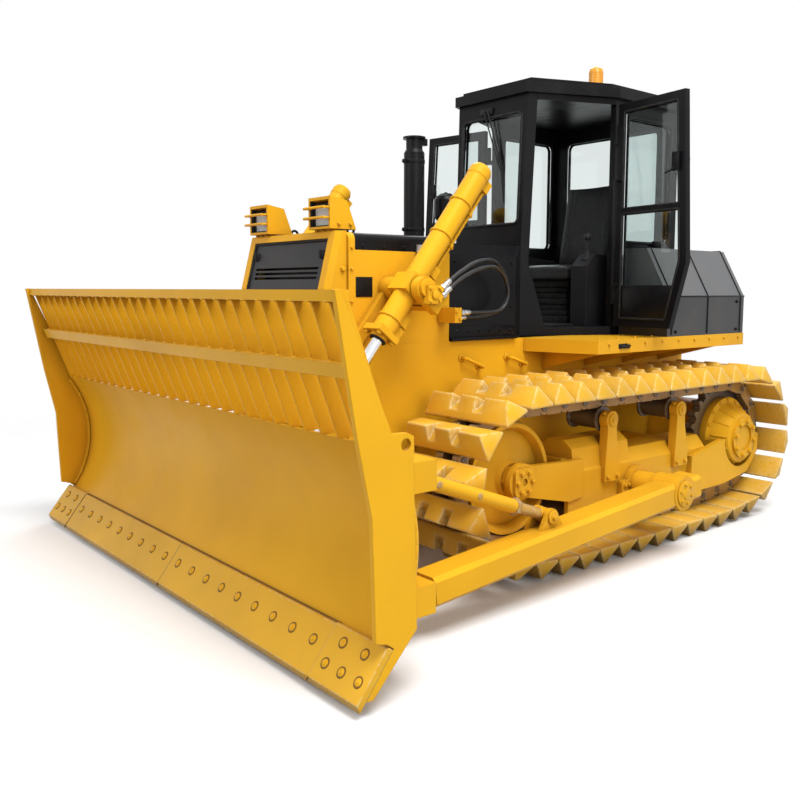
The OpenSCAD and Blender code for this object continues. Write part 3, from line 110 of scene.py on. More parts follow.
bpy.ops.mesh.primitive_circle_add(vertices=64, radius=60, fill_type="NGON")
floor = bpy.context.object
floor.name = "studio_floor"
floor_paint, shader, tree = material_nodes("floor_paint")
shader.inputs["Roughness"].default_value = 1.0
shader.inputs["Specular IOR Level"].default_value = 0.0
seen = seen_in_mirrors(tree)
shade = tree.nodes.new("ShaderNodeMix")
shade.data_type = "RGBA"
shade.inputs["A"].default_value = (FLOOR_BOUNCE, FLOOR_BOUNCE, FLOOR_BOUNCE, 1)
shade.inputs["B"].default_value = (FLOOR_WHITE, FLOOR_WHITE, FLOOR_WHITE, 1)
tree.links.new(seen, shade.inputs["Factor"])
tree.links.new(shade.outputs["Result"], shader.inputs["Base Color"])
place = tree.nodes.new("ShaderNodeTexCoord")
reach = tree.nodes.new("ShaderNodeVectorMath")
reach.operation = "LENGTH"
tree.links.new(place.outputs["Object"], reach.inputs[0])
far = tree.nodes.new("ShaderNodeMapRange")
far.inputs["From Min"].default_value = 3.2
far.inputs["From Max"].default_value = 7.5
tree.links.new(reach.outputs["Value"], far.inputs["Value"])
glow = tree.nodes.new("ShaderNodeEmission")
blend = tree.nodes.new("ShaderNodeMixShader")
tree.links.new(maths(tree, "MULTIPLY", far.outputs["Result"], seen), blend.inputs["Fac"])
tree.links.new(shader.outputs["BSDF"], blend.inputs[1])
tree.links.new(glow.outputs["Emission"], blend.inputs[2])
tree.links.new(blend.outputs["Shader"], tree.nodes["Material Output"].inputs["Surface"])
finish_with(floor, floor_paint)


def soft_lamp(place, target, size, power):
    """A square lamp that faces its target."""
    bpy.ops.object.light_add(type="AREA", location=place)
    lamp = bpy.context.object
    lamp.data.size = size
    lamp.data.energy = power
    lamp.rotation_euler = (Vector(target) - Vector(place)).to_track_quat("-Z", "Y").to_euler()


soft_lamp((1.5, 5.5, 11.0), target=(0, 0, 1.2), size=6.0, power=1280)
soft_lamp((9.5, -2.0, 6.0), target=(1.5, 0, 1.0), size=6.0, power=270)
soft_lamp((3.0, 10.0, 3.5), target=(0.3, 0, 0.8), size=5.0, power=240)
soft_lamp((-7.0, -5.0, 8.0), target=(0, 0, 1.2), size=7.0, power=420)
world = bpy.data.worlds.new("pale_sky")
scene.world = world
world.use_nodes = True
tree = world.node_tree
sky = tree.nodes["Background"]
sky.inputs["Color"].default_value = (0.96, 0.98, 1.0, 1)
sky.inputs["Strength"].default_value = 0.45
backdrop = tree.nodes.new("ShaderNodeBackground")
backdrop.inputs["Color"].default_value = (1, 1, 1, 1)
blend = tree.nodes.new("ShaderNodeMixShader")
tree.links.new(seen_in_mirrors(tree), blend.inputs["Fac"])
tree.links.new(sky.outputs["Background"], blend.inputs[1])
tree.links.new(backdrop.outputs["Background"], blend.inputs[2])
tree.links.new(blend.outputs["Shader"], tree.nodes["World Output"].inputs["Surface"])

# Ram hoses: two black rubber hoses on each side, from the swivel block on the ram's yoke over the cowl
# and back to a bracket on the hood. Stations are metres ahead of the sprocket axle, as in the source.
SIDES = ((1, "left"), (-1, "right"))
HOSE_D = 0.022
LONG_HOSE = ((2.715, 0.870, 1.695), (2.650, 0.860, 1.740), (2.575, 0.855, 1.775), (2.505, 0.840, 1.805),
             (2.425, 0.820, 1.830), (2.350, 0.795, 1.840), (2.275, 0.765, 1.845), (2.205, 0.730, 1.840),
             (2.135, 0.690, 1.830), (2.065, 0.655, 1.805), (2.000, 0.625, 1.770), (1.945, 0.600, 1.715),
             (1.925, 0.585, 1.640), (1.950, 0.580, 1.570), (2.020, 0.580, 1.525), (2.100, 0.580, 1.510),
             (2.180, 0.585, 1.500), (2.260, 0.590, 1.500), (2.340, 0.590, 1.500))
SHORT_HOSE = ((2.715, 0.870, 1.655), (2.655, 0.865, 1.695), (2.590, 0.860, 1.730), (2.525, 0.850, 1.755),
              (2.460, 0.835, 1.775), (2.395, 0.820, 1.790), (2.325, 0.795, 1.800), (2.255, 0.770, 1.805),
              (2.185, 0.735, 1.800), (2.120, 0.700, 1.785), (2.055, 0.670, 1.760), (2.000, 0.640, 1.720),
              (1.965, 0.630, 1.670), (1.960, 0.620, 1.610), (1.990, 0.620, 1.560), (2.045, 0.620, 1.535),
              (2.110, 0.620, 1.530), (2.185, 0.620, 1.530), (2.260, 0.625, 1.530), (2.340, 0.630, 1.530))
drive_low, drive_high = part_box("final_drives")
AXLE_X = (drive_low[0] + drive_high[0]) / 2
AXLE_Z = (drive_low[2] + drive_high[2]) / 2


def spot(x, y, z):
    """A place given by its station, its distance from the centre line and its height."""
    return Vector((AXLE_X + x, y, z))


def noise(tree, scale, detail=4.0):
    """Noise in the piece's own metres."""
    place = tree.nodes.new("ShaderNodeTexCoord")
    node = tree.nodes.new("ShaderNodeTexNoise")
    node.inputs["Scale"].default_value = scale
    node.inputs["Detail"].default_value = detail
    tree.links.new(place.outputs["Object"], node.inputs["Vector"])
    return node.outputs["Fac"]


def ramp(tree, value, low, high):
    """0 where value is below low, 1 above high."""
    node = tree.nodes.new("ShaderNodeMapRange")
    node.inputs["From Min"].default_value = low
    node.inputs["From Max"].default_value = high
    tree.links.new(value, node.inputs["Value"])
    return node.outputs["Result"]


def mix(tree, factor, first, second):
    """A colour between two colours or sockets."""
    node = tree.nodes.new("ShaderNodeMix")
    node.data_type = "RGBA"
    for socket, value in (("Factor", factor), ("A", first), ("B", second)):
        if hasattr(value, "links"):
            tree.links.new(value, node.inputs[socket])
        else:
            node.inputs[socket].default_value = (*value, 1)
    return node.outputs["Result"]


def skin(tree, shader, height, strength, distance, normal=None):
    """Bump on the shader from a height, over a rounded normal where one is given."""
    bump = tree.nodes.new("ShaderNodeBump")
    bump.inputs["Strength"].default_value = strength
    bump.inputs["Distance"].default_value = distance
    tree.links.new(height, bump.inputs["Height"])
    if normal:
        tree.links.new(normal, bump.inputs["Normal"])
    tree.links.new(bump.outputs["Normal"], shader.inputs["Normal"])


def mottled(name, first, second, blotch, roughness, grain=None, metal=0.0, gloss=0.5):
    """Stuff of one colour blotched with another, with a fine grain where one is given."""
    material, shader, tree = material_nodes(name)
    scale, detail, low, high = blotch
    patch = ramp(tree, noise(tree, scale, detail), low, high)
    tree.links.new(mix(tree, patch, first, second), shader.inputs["Base Color"])
    shader.inputs["Roughness"].default_value = roughness
    shader.inputs["Metallic"].default_value = metal
    shader.inputs["Specular IOR Level"].default_value = gloss
    if grain:
        scale, detail, strength, depth = grain
        skin(tree, shader, noise(tree, scale, detail), strength, depth)
    return material


hose_rubber = mottled("hose_rubber", (0.012, 0.012, 0.013), (0.032, 0.031, 0.030), (45.0, 4.0, 0.50, 0.75),
                      roughness=0.42, grain=(700.0, 2.0, 0.25, 0.0006))
for side, name in SIDES:
    for route, kind in ((LONG_HOSE, "long"), (SHORT_HOSE, "short")):
        bpy.ops.object.select_all(action="DESELECT")
        bpy.ops.curve.primitive_nurbs_path_add()
        hose = bpy.context.object
        hose.name = f"ram_hose_{name}_{kind}"
        line = hose.data.splines[0]
        line.points.add(len(route) - len(line.points))
        for point, (x, y, z) in zip(line.points, route):
            point.co = (*spot(x, side * y, z), 1)
        line.order_u = 3
        line.use_endpoint_u = True
        line.resolution_u = 6
        hose.data.bevel_depth = HOSE_D / 2
        hose.data.bevel_resolution = 5
        finish_with(hose, hose_rubber)
        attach(hose, "root")
        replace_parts(hose, f"hose_{name}_{kind}")

# Sprockets and rollers: dark oiled castings under the chain, polished where the rails run on them. They
# turn on pins in the track frames and on the final drives.
EARTH = (0.30, 0.22, 0.13)
BARE_STEEL = (0.46, 0.44, 0.40)
# reach, strength and colour of the darkening in hollows: dirt and painted shade together
GRIME_AND_SHADE_REACH = 0.14
GRIME_AND_SHADE_COVER = 0.75
GRIME_AND_SHADE_SHARE = (0.26, 0.23, 0.5)


def edge_wear(tree, radius, keep):
    """White on the worn parts of sharp edges, and a normal that rounds them."""
    rounded = tree.nodes.new("ShaderNodeBevel")
    rounded.samples = 4
    rounded.inputs["Radius"].default_value = radius
    shape = tree.nodes.new("ShaderNodeNewGeometry")
    dot = tree.nodes.new("ShaderNodeVectorMath")
    dot.operation = "DOT_PRODUCT"
    tree.links.new(rounded.outputs["Normal"], dot.inputs[0])
    tree.links.new(shape.outputs["True Normal"], dot.inputs[1])
    turn = maths(tree, "SUBTRACT", 1.0, dot.outputs["Value"])
    strong = maths(tree, "MULTIPLY", turn, 9.0)
    patch = ramp(tree, noise(tree, 38.0, 6.0), keep, keep + 0.14)
    return maths(tree, "MULTIPLY", strong, patch), rounded.outputs["Normal"]


def painted(name, colour, dull, chip, roughness, dust, keep=0.60, edge=0.004, gloss=0.5, tint=(1, 1, 1)):
    """Sprayed paint on steel: slightly uneven, dusty, chipped at edges, with dirt and painted shade in
    hollows.
    """
    material, shader, tree = material_nodes(name)
    tone = ramp(tree, noise(tree, 1.3, 3.0), 0.40, 0.75)
    film = ramp(tree, noise(tree, 4.5, 8.0), 0.50, 0.85)
    worn, rounded = edge_wear(tree, edge, keep)
    base = mix(tree, tone, colour, dull)
    dusty = mix(tree, maths(tree, "MULTIPLY", film, dust), base, EARTH)
    # darker where nearby surfaces close in: dirt, and painted shade in the hollows
    hollow = tree.nodes.new("ShaderNodeAmbientOcclusion")
    hollow.samples = 4
    hollow.inputs["Distance"].default_value = GRIME_AND_SHADE_REACH
    grime_and_shade = ramp(tree, hollow.outputs["AO"], 0.80, 0.25)
    dark = [part * share for part, share in zip(dull, GRIME_AND_SHADE_SHARE)]
    grimy_and_shaded = mix(tree, maths(tree, "MULTIPLY", grime_and_shade, GRIME_AND_SHADE_COVER), dusty, dark)
    tree.links.new(mix(tree, worn, grimy_and_shaded, chip), shader.inputs["Base Color"])
    spread = tree.nodes.new("ShaderNodeMapRange")
    spread.inputs["To Min"].default_value = roughness
    spread.inputs["To Max"].default_value = roughness + 0.20
    tree.links.new(film, spread.inputs["Value"])
    tree.links.new(spread.outputs["Result"], shader.inputs["Roughness"])
    shader.inputs["Specular IOR Level"].default_value = gloss
    shader.inputs["Specular Tint"].default_value = (*tint, 1)
    skin(tree, shader, noise(tree, 160.0, 2.0), 0.04, 0.002, rounded)
    return material


dark_casting = painted("dark_casting", (0.16, 0.10, 0.04), (0.07, 0.05, 0.03), BARE_STEEL, roughness=0.40,
                       dust=0.30, keep=0.44, edge=0.006)
for name in ("sprockets", "track_rollers", "carrier_rollers"):
    finish_with(nodes[name], dark_casting)

# Yellow weldments: machine yellow sprayed over plate and castings, clean on the flats, chipped at the
# edges down to the primer.
YELLOW = (0.85, 0.44, 0.018)
YELLOW_DULL = (0.72, 0.36, 0.020)
YELLOW_GLOSS = (1.0, 0.72, 0.25)
PRIMER = (0.33, 0.17, 0.06)
yellow_paint = painted("yellow_paint", YELLOW, YELLOW_DULL, PRIMER, roughness=0.34, dust=0.05, gloss=0.18,
                       tint=YELLOW_GLOSS)
for name in ("main_frame", "radiator_guard", "hood_sides", "lamp_housings", "fenders", "rear_case",
             "ram_yokes", "hose_brackets", "track_frame_left", "track_frame_right", "idlers", "final_drives",
             "moldboard", "blade_rack", "push_arms", "braces", "ram_barrel_left", "ram_barrel_right"):
    finish_with(nodes[name], yellow_paint)

# Undercarriage fasteners: plated and painted hexagon bolts on washers, which hold the idlers' covers,
# the final drives, the rollers, the carriers' clamps and the push arms' saddles.
BOLT = 0.030
FRAME_BOLT = 0.026
COVER_BOLT = 0.024
TRACK_Y = 0.94
WHEELBASE = 2.37
COVER_FACE = 1.166
HUB_FACE = 1.172
FLANGE_FACE = 1.020
BEAM_FACE = 1.100
SADDLE_FACE = 1.140
POST_FACE = 1.130
SADDLE = (1.260, 0.415)
ROLLER_X = tuple(0.550 + 0.246 * i for i in range(6))
ROLLER_Z = 0.300
CARRIER_X = (0.774, 1.534)
CARRIER_Z = 0.858
RIDGES = 14


def open_piece(name):
    """A new empty mesh at the origin, open in edit mode, for primitives to be added to."""
    bpy.ops.object.select_all(action="DESELECT")
    bpy.ops.object.add(type="MESH")
    piece = bpy.context.object
    piece.name = name
    bpy.ops.object.mode_set(mode="EDIT")
    return piece


def rod(start, end, radius, sides=16, tip=None):
    """A round bar, or a taper to another radius, between two places."""
    way = Vector(end) - Vector(start)
    bpy.ops.mesh.primitive_cone_add(
        vertices=sides, radius1=radius, radius2=radius if tip is None else tip, depth=way.length,
        location=(Vector(start) + Vector(end)) / 2, rotation=way.to_track_quat("Z", "Y").to_euler())


def block(low, high, turn=(0, 0, 0)):
    """A plate or bar between two corners, turned about its own middle."""
    low, high = Vector(low), Vector(high)
    bpy.ops.mesh.primitive_cube_add(size=1, location=(low + high) / 2, scale=high - low, rotation=turn)


def bolt(place, way, size=BOLT):
    """A hexagon head on its washer, standing on a face at place and pointing along way."""
    place, way = Vector(place), Vector(way).normalized()
    rod(place - way * 0.002, place + way * size * 0.14, size * 0.72, 16)
    rod(place, place + way * size * 0.62, size * 0.54, 6)


def bolt_rows(stations, y, heights, way, size=BOLT):
    """Bolts on one face, at every crossing of some stations and heights."""
    for x in stations:
        for z in heights:
            bolt(spot(x, y, z), way, size)


def close_mesh():
    """Turns the open mesh's faces outwards and leaves edit mode."""
    bpy.ops.mesh.select_all(action="SELECT")
    bpy.ops.mesh.normals_make_consistent(inside=False)
    bpy.ops.object.mode_set(mode="OBJECT")


def soften(piece, edge, segments=2):
    """Bevels a piece's sharp edges and shades the rest smooth."""
    bpy.ops.object.modifier_add(type="BEVEL")
    soft = piece.modifiers[-1]
    soft.width = edge
    soft.segments = segments
    soft.limit_method = "ANGLE"
    bpy.ops.object.modifier_apply(modifier=soft.name)
    bpy.ops.object.shade_smooth_by_angle()


def close_piece(piece, body, material, edge=0.0015):
    """Softens the open mesh's sharp edges, gives it its finish and hangs it on its body."""
    close_mesh()
    soften(piece, edge)
    finish_with(piece, material)
    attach(piece, body)


def around(centre, radius, count, start=0.0):
    """Places on an upright circle that faces sideways."""
    for i in range(count):
        angle = math.tau * i / count + start
        yield centre + Vector((radius * math.cos(angle), 0, radius * math.sin(angle)))


for side, name in SIDES:
    out = Vector((0, side, 0))
    piece = open_piece(f"undercarriage_bolts_{name}")
    for place in around(spot(WHEELBASE, side * COVER_FACE, AXLE_Z), 0.060, 6):
        bolt(place, out, FRAME_BOLT)
    for place in around(spot(0, side * HUB_FACE, AXLE_Z), 0.123, 8, 0.2):
        bolt(place, out)
    for place in around(spot(0, side * FLANGE_FACE, AXLE_Z), 0.268, 16):
        bolt(place, out, COVER_BOLT)
    for x in ROLLER_X:
        if abs(x - SADDLE[0]) > 0.2:
            bolt_rows((x - 0.045, x + 0.045), side * BEAM_FACE, (ROLLER_Z - 0.006,), out, FRAME_BOLT)
    for x in CARRIER_X:
        for dx in (-0.044, 0.044):
            bolt(spot(x + dx, side * (POST_FACE - 0.03), CARRIER_Z + 0.036), (0, 0, 1), COVER_BOLT)
        end = spot(x, side * (POST_FACE - 0.004), CARRIER_Z)
        rod(end, end + out * 0.014, 0.041, 28, 0.036)
        rod(end + out * 0.012, end + out * 0.020, 0.016, 6)
        bolt_rows((x - 0.06, x + 0.035), side * POST_FACE, (0.50,), out, FRAME_BOLT)
    stations = [SADDLE[0] + dx for dx in (-0.140, -0.105, 0.105, 0.140)]
    bolt_rows(stations, side * SADDLE_FACE, (SADDLE[1] + 0.012, SADDLE[1] - 0.034), out, COVER_BOLT)
    close_piece(piece, "root", yellow_paint)

    # cooling ridges that fan out over the final drive's cone
    piece = open_piece(f"drive_ridges_{name}")
    for i in range(RIDGES):
        angle = math.tau * i / RIDGES + 0.11
        ray = Vector((math.cos(angle), 0, math.sin(angle)))
        hub = spot(0, 0, AXLE_Z)
        rod(hub + ray * 0.238 + out * 1.036, hub + ray * 0.188 + out * 1.136, 0.012, 10, 0.008)
    close_piece(piece, "root", yellow_paint, 0.003)

# Track chains: forged link pairs on hardened pins, each pair carrying one bolted cast shoe with a notched
# ridge. The shoes were painted yellow, and the ground has worn their ridges and edges bright. They stand
# apart where the chain bends, and the whole chain stands for the plain loop.
WORN_EDGE = (0.80, 0.66, 0.36)
PIN_LINE = 0.382
RUN_DROP = 0.035
RUN_IN = 0.330
SHOES = 38
PIN_R = 0.021
RAIL_IN, RAIL_OUT = 0.040, 0.095
RAIL_DEPTH = 0.042
SHOE_HALF, SHOE_W = 0.089, 0.660
PLATE_LOW, PLATE_TOP, RIDGE_TOP = 0.055, 0.070, 0.170
CREST = 0.010
CAST_EDGE = 0.003
LINK_HALF = 0.062
END_CUT = 0.034
NOTCH_Y, NOTCH_W, NOTCH_Z = 0.095, 0.070, 0.104
run_d = math.hypot(RUN_IN, PIN_LINE + RUN_DROP)
run_a = math.acos(PIN_LINE / run_d) - math.atan2(RUN_IN, PIN_LINE + RUN_DROP)
run_t = math.sqrt(run_d ** 2 - PIN_LINE ** 2)


def chain_place(s):
    """Station and height of the chain's pin line at length s from above the sprocket."""
    arc = PIN_LINE * (math.pi - run_a)
    if s < WHEELBASE:
        return s, AXLE_Z + PIN_LINE
    s -= WHEELBASE
    if s < arc:
        return WHEELBASE + PIN_LINE * math.sin(s / PIN_LINE), AXLE_Z + PIN_LINE * math.cos(s / PIN_LINE)
    s -= arc
    low_front = WHEELBASE + PIN_LINE * math.sin(run_a), AXLE_Z - PIN_LINE * math.cos(run_a)
    if s < run_t:
        return low_front[0] - s * math.cos(run_a), low_front[1] - s * math.sin(run_a)
    s -= run_t
    flat = WHEELBASE - 2 * RUN_IN
    if s < flat:
        return WHEELBASE - RUN_IN - s, AXLE_Z - PIN_LINE - RUN_DROP
    s -= flat
    if s < run_t:
        return RUN_IN - s * math.cos(run_a), AXLE_Z - PIN_LINE - RUN_DROP + s * math.sin(run_a)
    angle = math.pi + run_a + (s - run_t) / PIN_LINE
    return PIN_LINE * math.sin(angle), AXLE_Z + PIN_LINE * math.cos(angle)


loop = 2 * WHEELBASE - 2 * RUN_IN + 2 * run_t + 2 * PIN_LINE * (math.pi - run_a)
pitch = loop / SHOES


def link_frame(i, side):
    """Where link i stands: along the chain, across it and out from it."""
    x, z = chain_place(i * pitch)
    start = spot(x, side * TRACK_Y, z)
    x, z = chain_place((i + 1) % SHOES * pitch)
    end = spot(x, side * TRACK_Y, z)
    along = (end - start).normalized()
    across = Vector((0, 1, 0))
    turn = Matrix((along, across, along.cross(across))).transposed().to_4x4()
    return Matrix.Translation((start + end) / 2) @ turn


def raise_end(rise, across, along):
    """Draws the selected face out upwards and narrows it."""
    bpy.ops.mesh.extrude_region_move(TRANSFORM_OT_translate={"value": (0, 0, rise)})
    bpy.ops.transform.resize(value=(across, along, 1), center_override=(0, 0, 0))


def lay_along_chain(pattern, name, side, material):
    """Copies a link's piece to every link of one track."""
    copies = []
    for i in range(SHOES):
        copy = pattern.copy()
        copy.data = pattern.data.copy()
        copy.data.transform(link_frame(i, side))
        scene.collection.objects.link(copy)
        copies.append(copy)
    bpy.ops.object.select_all(action="DESELECT")
    for copy in copies:
        copy.select_set(True)
    bpy.context.view_layer.objects.active = copies[0]
    bpy.ops.object.join()
    track = bpy.context.object
    track.name = name
    finish_with(track, material)
    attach(track, "root")
    return track


shoe = open_piece("shoe_pattern")
bpy.ops.mesh.primitive_plane_add(size=1, location=(0, 0, PLATE_LOW))
bpy.ops.transform.resize(value=(2 * SHOE_HALF, SHOE_W, 1), center_override=(0, 0, 0))
raise_end(PLATE_TOP - PLATE_LOW, 1, 1)
raise_end(RIDGE_TOP - PLATE_TOP, CREST / (2 * SHOE_HALF), 1 - 2 * END_CUT / SHOE_W)
close_mesh()
cutter = open_piece("notch_cutter")
for y in (-NOTCH_Y, NOTCH_Y):
    block((-0.15, y - NOTCH_W / 2, NOTCH_Z), (0.15, y + NOTCH_W / 2, 0.25))
bpy.ops.object.mode_set(mode="OBJECT")
bpy.ops.object.select_all(action="DESELECT")
shoe.select_set(True)
bpy.context.view_layer.objects.active = shoe
bpy.ops.object.modifier_add(type="BOOLEAN")
shoe.modifiers[-1].operation = "DIFFERENCE"
shoe.modifiers[-1].object = cutter
bpy.ops.object.modifier_apply(modifier=shoe.modifiers[-1].name)
soften(shoe, CAST_EDGE)
link = open_piece("link_pattern")
middle = (RAIL_IN + RAIL_OUT) / 2
for face in (-1, 1):
    block((-LINK_HALF, face * RAIL_IN, -RAIL_DEPTH), (LINK_HALF, face * RAIL_OUT, PLATE_LOW + 0.002))
    rod((-pitch / 2, face * RAIL_IN, 0), (-pitch / 2, face * middle, 0), RAIL_DEPTH, 20)
    rod((pitch / 2, face * middle, 0), (pitch / 2, face * RAIL_OUT, 0), RAIL_DEPTH, 20)
close_mesh()
soften(link, CAST_EDGE, 1)
track_paint = painted("track_paint", (0.80, 0.44, 0.03), (0.62, 0.34, 0.03), WORN_EDGE,
                      roughness=0.42, dust=0.14, keep=0.36, edge=0.013, gloss=0.28, tint=YELLOW_GLOSS)
chain_paint = painted("chain_paint", (0.52, 0.28, 0.05), (0.30, 0.17, 0.05), BARE_STEEL,
                      roughness=0.42, dust=0.30, keep=0.44, edge=0.006)
for side, name in SIDES:
    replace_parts(lay_along_chain(shoe, f"track_shoes_{name}", side, track_paint), f"track_{name}")
    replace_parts(lay_along_chain(link, f"track_links_{name}", side, chain_paint), f"track_{name}")
for pattern in (shoe, link, cutter):
    bpy.data.objects.remove(pattern)
for side, name in SIDES:
    piece = open_piece(f"chain_pins_{name}")
    for i in range(SHOES):
        x, z = chain_place(i * pitch)
        for face in (-1, 1):
            start = spot(x, side * TRACK_Y + face * (RAIL_OUT - 0.01), z)
            rod(start, start + Vector((0, face * 0.018, 0)), PIN_R, 14)
    close_piece(piece, "root", dark_casting, 0.002)

# Engine and radiator core: a dark cast block and a black finned core, seen through the grille and from
# below.
engine_iron = painted("engine_iron", (0.055, 0.050, 0.042), (0.03, 0.028, 0.025), (0.12, 0.11, 0.10),
                      roughness=0.45, dust=0.20)
finish_with(nodes["engine_block"], engine_iron)


def ribbed(name, direction, scale, first, second, roughness, strength):
    """Stuff with even ribs across one direction, in two colours, with its shader for what else it needs."""
    material, shader, tree = material_nodes(name)
    place = tree.nodes.new("ShaderNodeTexCoord")
    ribs = tree.nodes.new("ShaderNodeTexWave")
    ribs.bands_direction = direction
    ribs.inputs["Scale"].default_value = scale
    tree.links.new(place.outputs["Object"], ribs.inputs["Vector"])
    tree.links.new(mix(tree, ribs.outputs["Fac"], first, second), shader.inputs["Base Color"])
    shader.inputs["Roughness"].default_value = roughness
    skin(tree, shader, ribs.outputs["Fac"], strength, 0.003)
    return material, shader


core_black, shader = ribbed("core_black", "Y", 70.0, (0.010, 0.010, 0.011), (0.045, 0.045, 0.047),
                            roughness=0.55, strength=0.5)
finish_with(nodes["radiator_core"], core_black)

# Hull sides: plain plates with two round grab bars on each side, welded on short legs, and bolts
# where the front cross member meets them.
HULL_HALF = 0.50
HULL_BOLT = 0.028
DECK_Z = 1.35
GRAB_BARS = ((2.245, 1.243, 2.096, 1.184), (1.841, 1.230, 1.696, 1.183))
for side, name in SIDES:
    out = Vector((0, side, 0))
    piece = open_piece(f"hull_grab_bars_{name}")
    for x0, z0, x1, z1 in GRAB_BARS:
        start = spot(x0, side * (HULL_HALF + 0.045), z0)
        end = spot(x1, side * (HULL_HALF + 0.045), z1)
        rod(start, end, 0.011)
        for place in (start, end):
            rod(place - out * 0.047, place + out * 0.008, 0.013)
            rod(place - out * 0.047, place - out * 0.037, 0.024)
    close_piece(piece, "root", yellow_paint, 0.003)
    piece = open_piece(f"hull_screws_{name}")
    bolt_rows((2.62, 2.78, 2.94), side * HULL_HALF, (0.56, 0.74), out, HULL_BOLT)
    close_piece(piece, "root", yellow_paint)

# Radiator grille: a bent dark grey panel in a black rubber edge, held at its corners by four quarter-turn
# latches, with a wire mesh behind the slots.
HOOD_FRONT = 3.11
GRILLE_HALF = 0.40
GRILLE_LOW = 0.90
GRILLE_HIGH = 1.95
WIRES = 34
GUARD_LINE = ((1.990, 0.056), (1.672, 0.138), (1.400, 0.152), (0.640, 0.152))
grille_grey = painted("grille_grey", (0.034, 0.034, 0.037), (0.024, 0.024, 0.026), (0.09, 0.09, 0.09),
                      roughness=0.42, dust=0.06, gloss=0.2)
finish_with(nodes["radiator_grille"], grille_grey)
black_rubber = mottled("black_rubber", (0.010, 0.010, 0.010), (0.028, 0.028, 0.027), (20.0, 4.0, 0.45, 0.80),
                       roughness=0.60, grain=(320.0, 2.0, 0.15, 0.001), gloss=0.20)


def guard_x(z, back=0.0):
    """Station of the guard's front face at a height."""
    for (z1, d1), (z0, d0) in zip(GUARD_LINE, GUARD_LINE[1:]):
        if z >= z0:
            return HOOD_FRONT + d0 + (d1 - d0) * (z - z0) / (z1 - z0) - back
    return HOOD_FRONT + GUARD_LINE[-1][1] - back


piece = open_piece("grille_edge")
heights = [GRILLE_LOW + 0.008, 1.400, 1.672, GRILLE_HIGH - 0.008]
for side in (1, -1):
    for low, high in zip(heights, heights[1:]):
        rod(spot(guard_x(low, 0.012), side * (GRILLE_HALF - 0.004), low),
            spot(guard_x(high, 0.012), side * (GRILLE_HALF - 0.004), high), 0.009, 12)
for z in (heights[0], heights[-1]):
    rod(spot(guard_x(z, 0.012), -GRILLE_HALF, z), spot(guard_x(z, 0.012), GRILLE_HALF, z), 0.009, 12)
close_piece(piece, "root", black_rubber, 0.002)
piece = open_piece("grille_mesh")
for i in range(WIRES):
    y = -GRILLE_HALF + 0.055 + i * (2 * GRILLE_HALF - 0.11) / (WIRES - 1)
    rod(spot(guard_x(1.40, 0.040), y, 0.93), spot(guard_x(1.40, 0.040), y, 1.64), 0.0025, 6)
close_piece(piece, "root", black_rubber, 0.0005)
piece = open_piece("grille_latches")
for side in (1, -1):
    for z in (0.985, 1.862):
        x = guard_x(z, 0.014)
        face = Vector((1, 0, 0.25 if z > 1.672 else 0)).normalized()
        place = spot(x, side * (GRILLE_HALF - 0.045), z)
        rod(place - face * 0.004, place + face * 0.010, 0.026, 24)
        rod(place + face * 0.010, place + face * 0.018, 0.012, 16)
        wing = place + face * 0.016
        block(wing - Vector((0.004, 0.007, 0.022)), wing + Vector((0.006, 0.007, 0.022)))
close_piece(piece, "root", black_rubber)

# Radiator guard: a heavy bevelled steel frame round the grille, held by bolts down its sides and
# across its foot.
GUARD_HALF = 0.485
piece = open_piece("guard_bolts")
for side in (1, -1):
    out = Vector((0, side, 0))
    heights = (0.74, 1.00, 1.26, 1.52, 1.78)
    bolt_rows((HOOD_FRONT + 0.030,), side * GUARD_HALF, heights, out, FRAME_BOLT)
    for y in (0.20, 0.40):
        bolt(spot(HOOD_FRONT + 0.152, side * y, 0.76), (1, 0, 0))
close_piece(piece, "root", yellow_paint)

